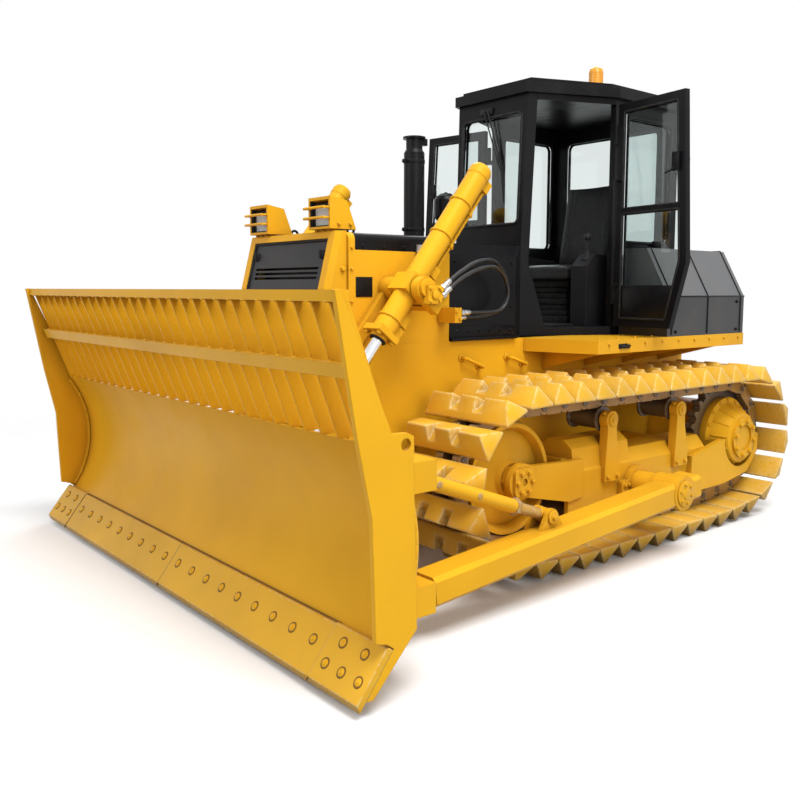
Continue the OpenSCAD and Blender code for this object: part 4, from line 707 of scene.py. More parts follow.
# Hood: a black pressed top over yellow side sheets, with a blank black sign plate, a draw latch and
# hinge screws on each side, and two lifting eyes on the top.
HOOD_REAR = 2.35
HOOD_Z = 1.985
PANEL_SCREW = 0.016
PLATE = (2.945, 3.060, 1.625, 1.737)
black_paint = painted("black_paint", (0.006, 0.006, 0.007), (0.009, 0.009, 0.010), (0.06, 0.06, 0.06),
                      roughness=0.30, dust=0.02, gloss=0.12)
for name in ("hood_top", "cowl", "exhaust_stack", "air_precleaner", "cab_floor", "cab_front_wall",
             "cab_side_left", "cab_side_right", "cab_rear_wall", "cab_roof", "door_left", "door_right"):
    finish_with(nodes[name], black_paint)
zinc = mottled("zinc", (0.62, 0.62, 0.60), (0.42, 0.42, 0.40), (60.0, 5.0, 0.35, 0.70),
               roughness=0.32, metal=1.0)
for side, name in SIDES:
    out = Vector((0, side, 0))
    piece = open_piece(f"hood_plate_{name}")
    x0, x1, z0, z1 = PLATE
    face = side * HULL_HALF
    block(spot(x0, face - 0.002, z0), spot(x1, face + side * 0.004, z1))
    for x in (x0 + 0.012, x1 - 0.012):
        for z in (z0 + 0.012, z1 - 0.012):
            rod(spot(x, face, z), spot(x, face + side * 0.007, z), 0.005, 12)
    close_piece(piece, "root", black_paint, 0.001)
    piece = open_piece(f"hood_latch_{name}")
    place = spot(2.60, side * HULL_HALF, HOOD_Z - 0.13)
    block(place + Vector((-0.022, -0.002 * side, -0.045)), place + Vector((0.022, 0.012 * side, 0.020)))
    block(place + Vector((-0.012, 0.010 * side, -0.065)), place + Vector((0.012, 0.020 * side, 0.030)))
    pull = place + Vector((0, 0.014 * side, 0.036))
    rod(pull - Vector((0.026, 0, 0)), pull + Vector((0.026, 0, 0)), 0.006, 12)
    block(place + Vector((-0.022, -0.002 * side, 0.034)), place + Vector((0.022, 0.012 * side, 0.075)))
    close_piece(piece, "root", zinc, 0.002)
    piece = open_piece(f"hood_screws_{name}")
    for i in range(5):
        bolt(spot(HOOD_REAR + 0.06 + i * 0.15, side * HULL_HALF, HOOD_Z - 0.075), out, PANEL_SCREW)
    close_piece(piece, "root", black_paint)
    piece = open_piece(f"hood_edge_screws_{name}")
    bolt_rows((HOOD_FRONT - 0.022,), side * HULL_HALF, (1.42, 1.60, 1.78, 1.90), out, PANEL_SCREW)
    close_piece(piece, "root", yellow_paint)
piece = open_piece("hood_lifting_eyes")
for side in (1, -1):
    foot = spot(2.95, side * 0.30, HOOD_Z)
    bpy.ops.mesh.primitive_torus_add(
        location=foot + Vector((0, 0, 0.026)), rotation=(math.pi / 2, 0, 0), major_radius=0.024,
        minor_radius=0.008, major_segments=24, minor_segments=10)
    rod(foot - Vector((0, 0, 0.002)), foot + Vector((0, 0, 0.010)), 0.022, 20)
close_piece(piece, "root", black_paint, 0.001)

# Work lamps: folded yellow boxes on a bolted foot. A pale ribbed lens sits in each, held by a
# black rubber rim, and thin black sheets in the box in front of it are painted shade.
lamp_low, lamp_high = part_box("lamp_lenses")
lamp_lens, shader = ribbed("lamp_lens", "Y", 42.0, (0.74, 0.76, 0.74), (0.58, 0.60, 0.58),
                           roughness=0.12, strength=0.4)
shader.inputs["Coat Weight"].default_value = 0.8
finish_with(nodes["lamp_lenses"], lamp_lens)
PLATE_SCREW = 0.018
LAMP_IN, LAMP_OUT = 0.2416, 0.4224
SHADE_SHEET_H, SHADE_SHEET_HALF = 0.150, 0.0015
shade_sheet_back, shade_sheet_front = lamp_high[0] - 0.010, lamp_high[0] + 0.028
lamp_floor = lamp_low[2]
# thin black sheets inside each box in front of the lens: painted shade
piece = open_piece("lamp_shade_sheets")
for side in (1, -1):
    for y in (side * LAMP_IN, side * LAMP_OUT):
        block((shade_sheet_back, y - SHADE_SHEET_HALF, lamp_floor), (shade_sheet_front, y + SHADE_SHEET_HALF, lamp_floor + SHADE_SHEET_H))
    for z in (lamp_floor + 0.001, lamp_floor + SHADE_SHEET_H + 0.002):
        block((shade_sheet_back, side * LAMP_IN, z - SHADE_SHEET_HALF), (shade_sheet_front, side * LAMP_OUT, z + SHADE_SHEET_HALF))
close_piece(piece, "root", black_rubber, 0.0005)
piece = open_piece("lamp_rims")
rim_x = lamp_high[0] - 0.004
mid_z = (lamp_low[2] + lamp_high[2]) / 2
for side in (1, -1):
    mid_y = side * (lamp_high[1] - 0.084)
    half_y, half_z = 0.084, (lamp_high[2] - lamp_low[2]) / 2 - 0.002
    corners = [Vector((rim_x, mid_y + a * half_y, mid_z + b * half_z))
               for a, b in ((1, 1), (-1, 1), (-1, -1), (1, -1))]
    for start, end in zip(corners, corners[1:] + corners[:1]):
        rod(start, end, 0.009, 12)
close_piece(piece, "root", black_rubber, 0.002)
piece = open_piece("lamp_bolts")
for side in (1, -1):
    for y in (0.275, 0.333, 0.391):
        bolt(spot(HOOD_FRONT + 0.050, side * y, 1.990), (0, 0, 1), PANEL_SCREW)
    bolt_rows((HOOD_FRONT - 0.06, HOOD_FRONT + 0.02), side * 0.438, (2.030,), (0, side, 0), PLATE_SCREW)
close_piece(piece, "root", yellow_paint)

# Exhaust and air pre-cleaner: black sheet pipes that stand on the cowl, each on a bolted flange and
# held by band clamps. The pre-cleaner's bowl has vanes round its foot and a knob on top.
SHEET_SCREW = 0.014
COWL_Z = 1.955
STACK_X, STACK_R = 2.212, 0.068
CLEANER_X, CLEANER_R = 1.930, 0.048
VANES = 24
piece = open_piece("stack_clamps")
for x, radius, heights in ((STACK_X, STACK_R, (2.06, 2.50)), (CLEANER_X, CLEANER_R, (2.02, 2.11))):
    for z in heights:
        rod(spot(x, 0, z - 0.012), spot(x, 0, z + 0.012), radius + 0.003, 40)
        for side in (-1, 1):
            ear = spot(x + radius, side * 0.010, z)
            block(ear - Vector((0, 0.003, 0.012)), ear + Vector((0.024, 0.003, 0.012)))
        rod(spot(x + radius + 0.013, -0.026, z), spot(x + radius + 0.013, 0.026, z), 0.005, 10)
    rod(spot(x, 0, COWL_Z - 0.002), spot(x, 0, COWL_Z + 0.010), radius + 0.034, 40)
    for i in range(6):
        angle = math.tau * (i + 0.5) / 6
        ray = Vector((math.cos(angle), math.sin(angle), 0)) * (radius + 0.020)
        bolt(spot(x, 0, COWL_Z + 0.010) + ray, (0, 0, 1), SHEET_SCREW)
close_piece(piece, "root", black_paint)
piece = open_piece("precleaner_vanes")
for i in range(VANES):
    angle = math.tau * i / VANES
    ray = Vector((math.cos(angle), math.sin(angle), 0))
    foot = spot(CLEANER_X, 0, 2.128)
    rod(foot + ray * 0.050, foot + ray * 0.073 + Vector((0, 0, 0.030)), 0.004, 8)
rod(spot(CLEANER_X, 0, 2.312), spot(CLEANER_X, 0, 2.324), 0.016, 20, 0.010)
close_piece(piece, "root", black_paint, 0.001)

# Cowl: black sheet between hood and cab, with a folded ledge along its foot and screws round its side
# panel.
COWL_FRONT, COWL_KINK = 2.345, 1.765
for side, name in SIDES:
    out = Vector((0, side, 0))
    piece = open_piece(f"cowl_ledge_{name}")
    foot = spot(COWL_KINK, side * (HULL_HALF - 0.004), DECK_Z + 0.002)
    for reach, height in ((0.028, 0.020), (0.006, 0.090)):
        block(foot, spot(COWL_FRONT, side * (HULL_HALF + reach), DECK_Z + height))
    for i in range(6):
        bolt(spot(COWL_KINK + 0.05 + i * 0.095, side * (HULL_HALF + 0.006), DECK_Z + 0.060), out, SHEET_SCREW)
    stations = (COWL_KINK + 0.04, COWL_FRONT - 0.04)
    bolt_rows(stations, side * HULL_HALF, (1.56, 1.70, 1.84), out, SHEET_SCREW)
    close_piece(piece, "root", black_paint)

# Fenders: folded deck plates over the tracks. Each has a pull bar on its rim over a black plate, painted
# shade for the slot it sits in, and screws along the fold.
FENDER_HALF = 1.015
for side, name in SIDES:
    out = Vector((0, side, 0))
    piece = open_piece(f"fender_pull_{name}")
    middle = spot(1.28, side * FENDER_HALF, 1.306)
    # thin black plate behind the pull bar: painted shade for its slot
    block(middle + Vector((-0.060, -0.002 * side, -0.016)), middle + Vector((0.060, 0.003 * side, 0.016)))
    rod(middle + Vector((-0.045, 0.014 * side, 0)), middle + Vector((0.045, 0.014 * side, 0)), 0.006, 12)
    for x in (-0.045, 0.045):
        rod(middle + Vector((x, -0.002 * side, 0)), middle + Vector((x, 0.018 * side, 0)), 0.006, 12)
    close_piece(piece, "root", black_rubber)
    piece = open_piece(f"fender_screws_{name}")
    for i in range(9):
        bolt(spot(-0.12 + i * 0.195, side * FENDER_HALF, 1.322), out, PANEL_SCREW)
    for i in range(4):
        bolt(spot(0.90 + i * 0.19, side * 0.96, DECK_Z), (0, 0, 1), PLATE_SCREW)
    close_piece(piece, "root", yellow_paint)

# Tanks: folded steel boxes beside and behind the cab. The lower faces are nearly black, and the sloped
# upper faces mid grey, which is painted light from above, with a pressed seam, three straps and a filler cap
# on each.
TANK_OUT, TANK_SHELF = 1.013, 0.830
BROW_Z, TANK_Z = 1.625, 1.960
TANK_REAR, TANK_FRONT = -0.190, 0.800
STRAP_R = 0.007
tank_paint, shader, tree = material_nodes("tank_paint")
place = tree.nodes.new("ShaderNodeTexCoord")
split = tree.nodes.new("ShaderNodeSeparateXYZ")
tree.links.new(place.outputs["Object"], split.inputs["Vector"])
# faces above the brow mid grey, below nearly black: the grey is painted light from above
upper = ramp(tree, split.outputs["Z"], BROW_Z - 0.004, BROW_Z + 0.004)
black_and_painted_top_light = mix(tree, upper, (0.020, 0.020, 0.022), (0.105, 0.107, 0.110))
film = ramp(tree, noise(tree, 4.0, 6.0), 0.45, 0.85)
worn, rounded = edge_wear(tree, 0.004, 0.62)
dusty = mix(tree, maths(tree, "MULTIPLY", film, 0.10), black_and_painted_top_light, EARTH)
tree.links.new(mix(tree, worn, dusty, (0.20, 0.20, 0.20)), shader.inputs["Base Color"])
shader.inputs["Roughness"].default_value = 0.38
skin(tree, shader, noise(tree, 160.0, 2.0), 0.04, 0.002, rounded)
for name in ("side_tanks", "rear_tank"):
    finish_with(nodes[name], tank_paint)
for side, name in SIDES:
    piece = open_piece(f"tank_fittings_{name}")
    for x in (TANK_REAR + 0.05, 0.305, TANK_FRONT - 0.05):
        rod(spot(x, side * TANK_OUT, BROW_Z), spot(x, side * TANK_SHELF, TANK_Z), STRAP_R, 10)
        rod(spot(x, side * TANK_OUT, DECK_Z + 0.01), spot(x, side * TANK_OUT, BROW_Z), STRAP_R, 10)
        rod(spot(x, side * TANK_SHELF, TANK_Z), spot(x, side * 0.625, TANK_Z), STRAP_R, 10)
    rod(spot(TANK_REAR, side * TANK_OUT, BROW_Z), spot(TANK_FRONT, side * TANK_OUT, BROW_Z), 0.006, 10)
    cap = spot(0.52, side * 0.72, TANK_Z)
    rod(cap - Vector((0, 0, 0.002)), cap + Vector((0, 0, 0.022)), 0.052, 32)
    rod(cap + Vector((0, 0, 0.022)), cap + Vector((0, 0, 0.042)), 0.062, 24)
    block(cap + Vector((-0.050, -0.009, 0.042)), cap + Vector((0.050, 0.009, 0.056)))
    stations = (TANK_REAR + 0.10, TANK_FRONT - 0.10)
    bolt_rows(stations, side * TANK_OUT, (DECK_Z + 0.03, BROW_Z - 0.04), (0, side, 0), PLATE_SCREW)
    close_piece(piece, "root", black_paint)
piece = open_piece("rear_tank_seams")
for y in (-0.40, 0.0, 0.40):
    rod(spot(TANK_REAR, y, DECK_Z + 0.01), spot(TANK_REAR, y, BROW_Z), STRAP_R, 10)
    rod(spot(TANK_REAR, y, BROW_Z), spot(TANK_REAR + 0.09, y, TANK_Z - 0.06), STRAP_R, 10)
for y in (-0.52, -0.20, 0.20, 0.52):
    bolt(spot(TANK_REAR, y, DECK_Z + 0.05), (-1, 0, 0), PLATE_SCREW)
close_piece(piece, "root", black_paint)

# Rear case: a yellow casting with a bolted cover. Flange bolts ring the cover, and a round plug
# sits in its middle.
COVER_X = -0.420
PLUG_HEAD = 0.036
piece = open_piece("rear_case_bolts")
for side in (1, -1):
    bolt_rows((COVER_X,), side * 0.272, (0.60, 0.68, 0.84, 0.92, 1.00, 1.135), (-1, 0, 0), COVER_BOLT)
for y in (-0.12, 0.0, 0.12):
    bolt(spot(COVER_X, y, 1.13), (-1, 0, 0), COVER_BOLT)
rod(spot(COVER_X + 0.004, 0, 0.90), spot(COVER_X - 0.012, 0, 0.90), 0.055, 32, 0.048)
bolt(spot(COVER_X - 0.010, 0, 0.90), (-1, 0, 0), PLUG_HEAD)
close_piece(piece, "root", yellow_paint)

# Cab windows: flat safety glass set in black rubber gaskets. A wiper with two arms hangs over the
# windscreen from a box on the header.
FLOOR_Z = 1.41
CAB_FOOT, CAB_LEAN = 1.55, 0.06 / 1.58
glass, shader, tree = material_nodes("glass")
shader.inputs["Base Color"].default_value = (0.78, 0.84, 0.83, 1)
shader.inputs["Transmission Weight"].default_value = 1.0
shader.inputs["Roughness"].default_value = 0.015
shader.inputs["IOR"].default_value = 1.45
for name in ("cab_glass", "door_left_glass", "door_right_glass"):
    finish_with(nodes[name], glass)


def screen_x(z):
    """Station of the leaning front wall's outer face."""
    return CAB_FOOT - (z - FLOOR_Z) * CAB_LEAN


def rounded_frame(low, high, corner):
    """Points across and up, round a rectangle with round corners."""
    for a, b, start in ((1, 1, 0), (0, 1, 1), (0, 0, 2), (1, 0, 3)):
        centre = (low[0] + corner, high[0] - corner)[a], (low[1] + corner, high[1] - corner)[b]
        for k in range(6):
            angle = math.pi / 2 * (start + k / 5)
            yield centre[0] + corner * math.cos(angle), centre[1] + corner * math.sin(angle)


def bead(points, radius):
    """A round rubber bead along a closed line."""
    points = list(points)
    for start, end in zip(points, points[1:] + points[:1]):
        rod(start, end, radius, 8)


GASKET_R = 0.011
piece = open_piece("window_gaskets")
bead([spot(screen_x(z), y, z) for y, z in rounded_frame((-0.286, 2.12), (0.286, 2.872), 0.04)], GASKET_R)
for side in (1, -1):
    bead([spot(x, side * 0.60, z) for x, z in rounded_frame((0.20, 2.01), (0.77, 2.88), 0.05)], GASKET_R)
bead([spot(0.11, y, z) for y, z in rounded_frame((-0.44, 2.01), (0.44, 2.88), 0.05)], GASKET_R)
close_piece(piece, "root", black_rubber, 0.001)
piece = open_piece("screen_wiper")
pivot = spot(screen_x(2.915), -0.06, 2.915)
elbow = spot(screen_x(2.86) + 0.014, -0.045, 2.86)
tip = spot(screen_x(2.50) - 0.010, 0.09, 2.50)
block(pivot + Vector((-0.004, -0.050, -0.018)), pivot + Vector((0.016, 0.070, 0.024)))
for shift in (0.0, 0.035):
    aside = Vector((0, shift, 0))
    rod(pivot + aside + Vector((0.010, 0, 0)), pivot + aside + Vector((0.026, 0, 0)), 0.012, 16)
    rod(pivot + aside + Vector((0.020, 0, 0)), elbow + aside, 0.006, 10)
    rod(elbow + aside, tip + aside * 0.4, 0.005, 10)
rod(spot(screen_x(2.72) - 0.018, 0.055, 2.72), spot(screen_x(2.27) - 0.018, 0.130, 2.27), 0.006, 10)
close_piece(piece, "root", black_rubber, 0.001)

# Cab floor mat: a ribbed black rubber mat laid in front of the seat, with two pedals on stalks at the
# toe board.
piece = open_piece("floor_mat")
block(spot(0.93, -0.33, FLOOR_Z), spot(1.33, 0.33, FLOOR_Z + 0.008))
for i in range(16):
    x = 0.95 + i * 0.024
    rod(spot(x, -0.32, FLOOR_Z + 0.008), spot(x, 0.32, FLOOR_Z + 0.008), 0.004, 6)
close_piece(piece, "root", black_rubber, 0.001)
piece = open_piece("pedals")
for y in (-0.12, 0.12):
    block(spot(1.30, y - 0.050, FLOOR_Z + 0.090), spot(1.33, y + 0.050, FLOOR_Z + 0.200), (0, 0.5, 0))
    rod(spot(1.315, y, FLOOR_Z + 0.145), spot(1.36, y, FLOOR_Z + 0.005), 0.010, 10)
close_piece(piece, "root", black_rubber, 0.003)

# Seat: a boxed steel stand with a rubber bellows, and a foam cushion and back in black vinyl with sewn
# channels. The sides pull in between the corners and the middle is crowned.
seat_vinyl = mottled("seat_vinyl", (0.009, 0.009, 0.010), (0.018, 0.018, 0.019), (24.0, 6.0, 0.40, 0.75),
                     roughness=0.48, grain=(380.0, 3.0, 0.22, 0.001), gloss=0.25)
SEAT_HALF = 0.238
FOLD = 0.044
SEAM_WIDTH, SEAM_SINK, SIDE_SEAM = 0.030, 0.10, 0.68


def cushion(name, centre, size, turn, channels):
    """A foam pad: crowned top, pulled-in sides and sewn channels across it. Thickness is along its z."""
    bpy.ops.object.select_all(action="DESELECT")
    bpy.ops.mesh.primitive_cube_add(size=1)
    pad = bpy.context.object
    pad.name = name
    bpy.ops.object.mode_set(mode="EDIT")
    bpy.ops.mesh.subdivide(number_cuts=23)
    bpy.ops.object.mode_set(mode="OBJECT")
    turned = Matrix.Translation(centre) @ Matrix.Rotation(turn, 4, "Y")
    for point in pad.data.vertices:
        u, v, w = point.co * 2
        round_off = (1 - 0.10 * abs(u) ** 6) * (1 - 0.10 * abs(v) ** 6)
        crown = 1 - 0.22 * (u ** 4 + v ** 4) / 2 - 0.10 * max(abs(u), abs(v)) ** 10
        seam = sum(math.exp(-((u - c) / SEAM_WIDTH) ** 2) for c in channels)
        side_seam = math.exp(-((abs(v) - SIDE_SEAM) / SEAM_WIDTH) ** 2)
        sink = SEAM_SINK * min(1.0, seam + side_seam) if w > 0.5 else 0.0
        x = u * (1 - 0.03 * (1 - v * v)) * (1 - 0.06 * abs(w) ** 6)
        y = v * (1 - 0.03 * (1 - u * u)) * (1 - 0.06 * abs(w) ** 6)
        z = w * (crown * round_off - sink if w > 0 else 1)
        point.co = turned @ Vector((x * size[0] / 2, y * size[1] / 2, z * size[2] / 2))
    bpy.ops.object.modifier_add(type="SUBSURF")
    pad.modifiers[-1].levels = 1
    pad.modifiers[-1].render_levels = 1
    bpy.ops.object.modifier_apply(modifier=pad.modifiers[-1].name)
    bpy.ops.object.shade_smooth()
    finish_with(pad, seat_vinyl)
    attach(pad, "root")
    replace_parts(pad, "seat")


cushion("seat_cushion", spot(0.680, 0, 1.800), (0.520, 2 * SEAT_HALF, 0.120), 0.0, (-0.5, 0.0, 0.5))
BACK_LEAN = math.radians(10)
back_up = Vector((-math.sin(BACK_LEAN), 0, math.cos(BACK_LEAN)))
cushion("seat_back", spot(0.457, 0, 1.860) + back_up * 0.304, (0.640, 2 * SEAT_HALF - 0.02, 0.108),
        math.pi / 2 - BACK_LEAN, (-0.45, -0.05, 0.35))
piece = open_piece("seat_stand")
block(spot(0.480, -0.180, FLOOR_Z + 0.001), spot(0.860, 0.180, FLOOR_Z + 0.060))
for i in range(5):
    inset = 0.010 if i % 2 else 0.0
    z = FLOOR_Z + 0.060 + i * FOLD
    block(spot(0.495 + inset, -0.165 + inset, z), spot(0.845 - inset, 0.165 - inset, z + FOLD))
block(spot(0.470, -0.200, FLOOR_Z + 0.280), spot(0.870, 0.200, FLOOR_Z + 0.332))
close_piece(piece, "root", black_rubber, 0.006)
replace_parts(piece, "seat")

# Control consoles: moulded dark grey boxes beside the seat, each with a lever in a rubber boot and
# a row of rocker switches.
control_plastic = painted("control_plastic", (0.016, 0.016, 0.018), (0.012, 0.012, 0.013), (0.06, 0.06, 0.06),
                          roughness=0.45, dust=0.04, gloss=0.2)
finish_with(nodes["cab_controls"], control_plastic)
piece = open_piece("lever_boots")
for side in (1, -1):
    foot = spot(0.870, side * 0.370, 1.885)
    for i in range(4):
        low = foot + Vector((0, 0, i * 0.016))
        rod(low, low + Vector((0, 0, 0.016)), 0.050 - i * 0.009, 24, 0.043 - i * 0.009)
    for i in range(5):
        x = 0.42 + i * 0.060
        z = 1.880 + (x - 0.280) * 0.083 - 0.004
        block(spot(x, side * 0.345, z), spot(x + 0.034, side * 0.345 + 0.020, z + 0.014), (0, -0.083, 0))
close_piece(piece, "root", black_rubber, 0.002)

# Beacon: an amber moulded dome with inner ribs on a grey plastic stalk. Three screws hold the foot, and
# a clamp ring with its screw holds the dome.
soft_grey = mottled("soft_grey", (0.17, 0.17, 0.17), (0.12, 0.12, 0.12), (14.0, 4.0, 0.35, 0.75),
                    roughness=0.55, grain=(260.0, 2.0, 0.12, 0.001))
finish_with(nodes["beacon_base"], soft_grey)
amber, shader = ribbed("amber", "Z", 22.0, (0.95, 0.42, 0.012), (0.80, 0.29, 0.008),
                       roughness=0.14, strength=0.35)
shader.inputs["Transmission Weight"].default_value = 0.10
shader.inputs["Coat Weight"].default_value = 0.2
finish_with(nodes["beacon_lens"], amber)
BEACON_X = 0.35
FOOT_SCREW, CLAMP_SCREW = 0.011, 0.012
piece = open_piece("beacon_clamp")
for i in range(3):
    angle = math.tau * i / 3
    ray = Vector((math.cos(angle), math.sin(angle), 0)) * 0.039
    bolt(spot(BEACON_X, 0, 3.106) + ray, (0, 0, 1), FOOT_SCREW)
rod(spot(BEACON_X, 0, 3.170), spot(BEACON_X, 0, 3.186), 0.034, 28)
bolt(spot(BEACON_X + 0.033, 0, 3.178), (1, 0, 0), CLAMP_SCREW)
close_piece(piece, "root", soft_grey)

# Doors: glazed steel frames hung on two pin hinges and standing open. Each has rubber beads round its
# panes, a lock box at the free edge and a grab bar on the inside.
HINGE = (0.891, 0.626)
OPEN_WAY = (0.158, 0.9874)
LOWER_PANE = ((0.084, 1.473), (0.495, 1.473), (0.602, 1.862), (0.585, 2.190), (0.084, 2.190))
UPPER_PANE = ((0.084, 2.226), (0.583, 2.226), (0.548, 2.878), (0.084, 2.878))
KICK_PANEL = ((0.080, 1.470), (0.500, 1.470), (0.560, 1.700), (0.080, 1.700))
LOCK_HALF, HANDLE_HALF = Vector((0.028, 0.012, 0.060)), Vector((0.026, 0.008, 0.050))
LEVER_U, HANDLE_U = 0.552, 0.592
PANE_BEAD = 0.008
# a new cube's corners, in the order in which a panel's inner and outer corners are listed
CUBE_ORDER = (0, 3, 4, 7, 1, 2, 5, 6)


def door_ways(side):
    """The ways along one open door and out of its inner face."""
    return Vector((OPEN_WAY[0], side * OPEN_WAY[1], 0)), Vector((OPEN_WAY[1], -side * OPEN_WAY[0], 0))


def on_door(side, u, z, deep):
    """A place on one door: along it, up, and out of its inner face."""
    along, inner = door_ways(side)
    return spot(HINGE[0], side * HINGE[1], 0) + along * u + Vector((0, 0, z)) + inner * deep


for side, name in SIDES:
    along, inner = door_ways(side)
    piece = open_piece(f"door_beads_{name}")
    for pane in (LOWER_PANE, UPPER_PANE):
        for deep in (-0.019, 0.019):
            bead([on_door(side, u, z, deep) for u, z in pane], PANE_BEAD)
    close_piece(piece, f"door_{name}", black_rubber, 0.001)
    turn = (0, 0, math.atan2(along[1], along[0]))
    piece = open_piece(f"door_kick_panel_{name}")
    for deep in (-0.012, 0.012):
        panel = [on_door(side, u, z, deep + d) for d in (-0.004, 0.004) for u, z in KICK_PANEL]
        bpy.ops.mesh.primitive_cube_add(size=1)
        bpy.ops.object.mode_set(mode="OBJECT")
        corners = piece.data.vertices[-8:]
        for corner, spread in zip(corners, CUBE_ORDER):
            corner.co = panel[spread]
        bpy.ops.object.mode_set(mode="EDIT")
    close_piece(piece, f"door_{name}", black_paint, 0.003)
    piece = open_piece(f"door_lock_{name}")
    middle = on_door(side, 0.560, 2.49, 0.030)
    block(middle - LOCK_HALF, middle + LOCK_HALF, turn)
    rod(on_door(side, LEVER_U, 2.44, 0.040), on_door(side, LEVER_U, 2.44, 0.054), 0.012, 16)
    rod(on_door(side, LEVER_U, 2.44, 0.050), on_door(side, 0.490, 2.42, 0.054), 0.006, 10)
    outer = on_door(side, HANDLE_U, 2.46, -0.026)
    block(outer - HANDLE_HALF, outer + HANDLE_HALF, turn)
    rod(on_door(side, HANDLE_U, 2.480, -0.030), on_door(side, HANDLE_U, 2.480, -0.050), 0.009, 14)
    rod(on_door(side, HANDLE_U, 2.485, -0.048), on_door(side, HANDLE_U, 2.400, -0.048), 0.008, 12)
    close_piece(piece, f"door_{name}", black_paint, 0.003)
    piece = open_piece(f"door_grab_bar_{name}")
    low, high = on_door(side, 0.050, 1.70, 0.062), on_door(side, 0.050, 2.42, 0.062)
    rod(low, high, 0.010, 14)
    for place in (low, high):
        rod(place - inner * 0.044, place + inner * 0.008, 0.010, 14)
        rod(place - inner * 0.044, place - inner * 0.037, 0.018, 16)
    close_piece(piece, f"door_{name}", black_paint)

# Cutting edges: hardened steel bars bolted along the moldboard's foot, painted yellow and worn bright.
# Flat plough-bolt heads sit in one row, with five on each thicker end bit.
EDGE_TOP = (3.8807, 0.2391)
EDGE_DOWN = (0.6074, -0.7944)
EDGE_OUT = (0.7944, 0.6074)
EDGE_T, BIT_T = 0.028, 0.032
edge_paint = painted("edge_paint", (0.78, 0.42, 0.030), (0.60, 0.33, 0.035), WORN_EDGE,
                     roughness=0.40, dust=0.12, keep=0.40, edge=0.010, gloss=0.28, tint=YELLOW_GLOSS)
finish_with(nodes["cutting_edges"], edge_paint)


def on_edge(s, y, out):
    """A place on the cutting edge: down it, across, and out of its face."""
    x, z = (top + s * down + out * forth for top, down, forth in zip(EDGE_TOP, EDGE_DOWN, EDGE_OUT))
    return spot(x, y, z)


EDGE_LONG = 0.262
BIT_Y = 1.500
heads = [(0.105, 0.085 + 0.166 * i, EDGE_T) for i in range(9)]
heads += [(0.060, y, BIT_T) for y in (1.60, 1.75)] + [(0.165, y, BIT_T) for y in (1.56, 1.675, 1.79)]
piece = open_piece("edge_bolts")
for side in (1, -1):
    for s, y, face in heads:
        rod(on_edge(s, side * y, face - 0.003), on_edge(s, side * y, face + 0.006), 0.021, 20, 0.015)
        rod(on_edge(s, side * y, face + 0.004), on_edge(s, side * y, face + 0.008), 0.010, 4)
close_piece(piece, "blade", yellow_paint, 0.001)
# Round the plough-bolt heads, dark brown rings of painted shadow; earth packed in the joints between bars
earth_and_painted_shadow = painted("earth_and_painted_shadow", (0.22, 0.11, 0.020), (0.15, 0.08, 0.020), (0.26, 0.14, 0.04),
                       roughness=0.60, dust=0.20, gloss=0.2)
piece = open_piece("edge_earth_and_bolt_shadows")
for side in (1, -1):
    for s, y, face in heads:
        # a dark brown ring under each head's rim: painted shadow
        rod(on_edge(s, side * y, face - 0.003), on_edge(s, side * y, face + 0.0015), 0.0255, 24)
    # a dark brown line along the edge's top face
    rod(on_edge(-0.002, side * 0.002, 0.010), on_edge(-0.002, side * BIT_Y, 0.010), 0.009, 8)
    # earth packed in the joints between the bars
    seam = side * BIT_Y
    rod(on_edge(0.004, seam, EDGE_T - 0.001), on_edge(EDGE_LONG, seam, EDGE_T - 0.001), 0.004, 8)
rod(on_edge(0.004, 0, EDGE_T - 0.004), on_edge(EDGE_LONG, 0, EDGE_T - 0.004), 0.005, 8)
close_piece(piece, "blade", earth_and_painted_shadow, 0.0005)

# Moldboard welds: thick fillet beads where the end plates, the rack's slats and the rams' ears join the
# plate, painted over with it.
MOLD_X, MOLD_CX, MOLD_R, MOLD_Z = 3.745, 4.405, 0.660, 0.640
MOLD_HALF = 1.824
WELD_R = MOLD_R - 0.006
WELD_START, WELD_STEP = 215, 5.1
piece = open_piece("blade_welds")
for side in (1, -1):
    face = []
    for k in range(15):
        angle = math.radians(WELD_START - k * WELD_STEP)
        x, z = MOLD_CX + WELD_R * math.cos(angle), MOLD_Z + WELD_R * math.sin(angle)
        face.append(spot(x, side * (MOLD_HALF + 0.007), z))
    for start, end in zip(face, face[1:]):
        rod(start, end, 0.016, 8)
    for y in (0.627, 0.737):
        ear = spot(MOLD_X - 0.026, side * y, 0.63)
        rod(ear, ear + Vector((0, 0, 0.14)), 0.008, 8)
SLATS = 29
RACK_BAR_X = 4.028
SLAT_HALF = MOLD_HALF - 0.066
for i in range(SLATS):
    y = -SLAT_HALF + i * 2 * SLAT_HALF / (SLATS - 1)
    for x, z in ((4.124, 1.623), (RACK_BAR_X, 1.3885)):
        rod(spot(x, y - 0.014, z), spot(x, y + 0.014, z), 0.006, 8)
close_piece(piece, "blade", yellow_paint, 0.001)
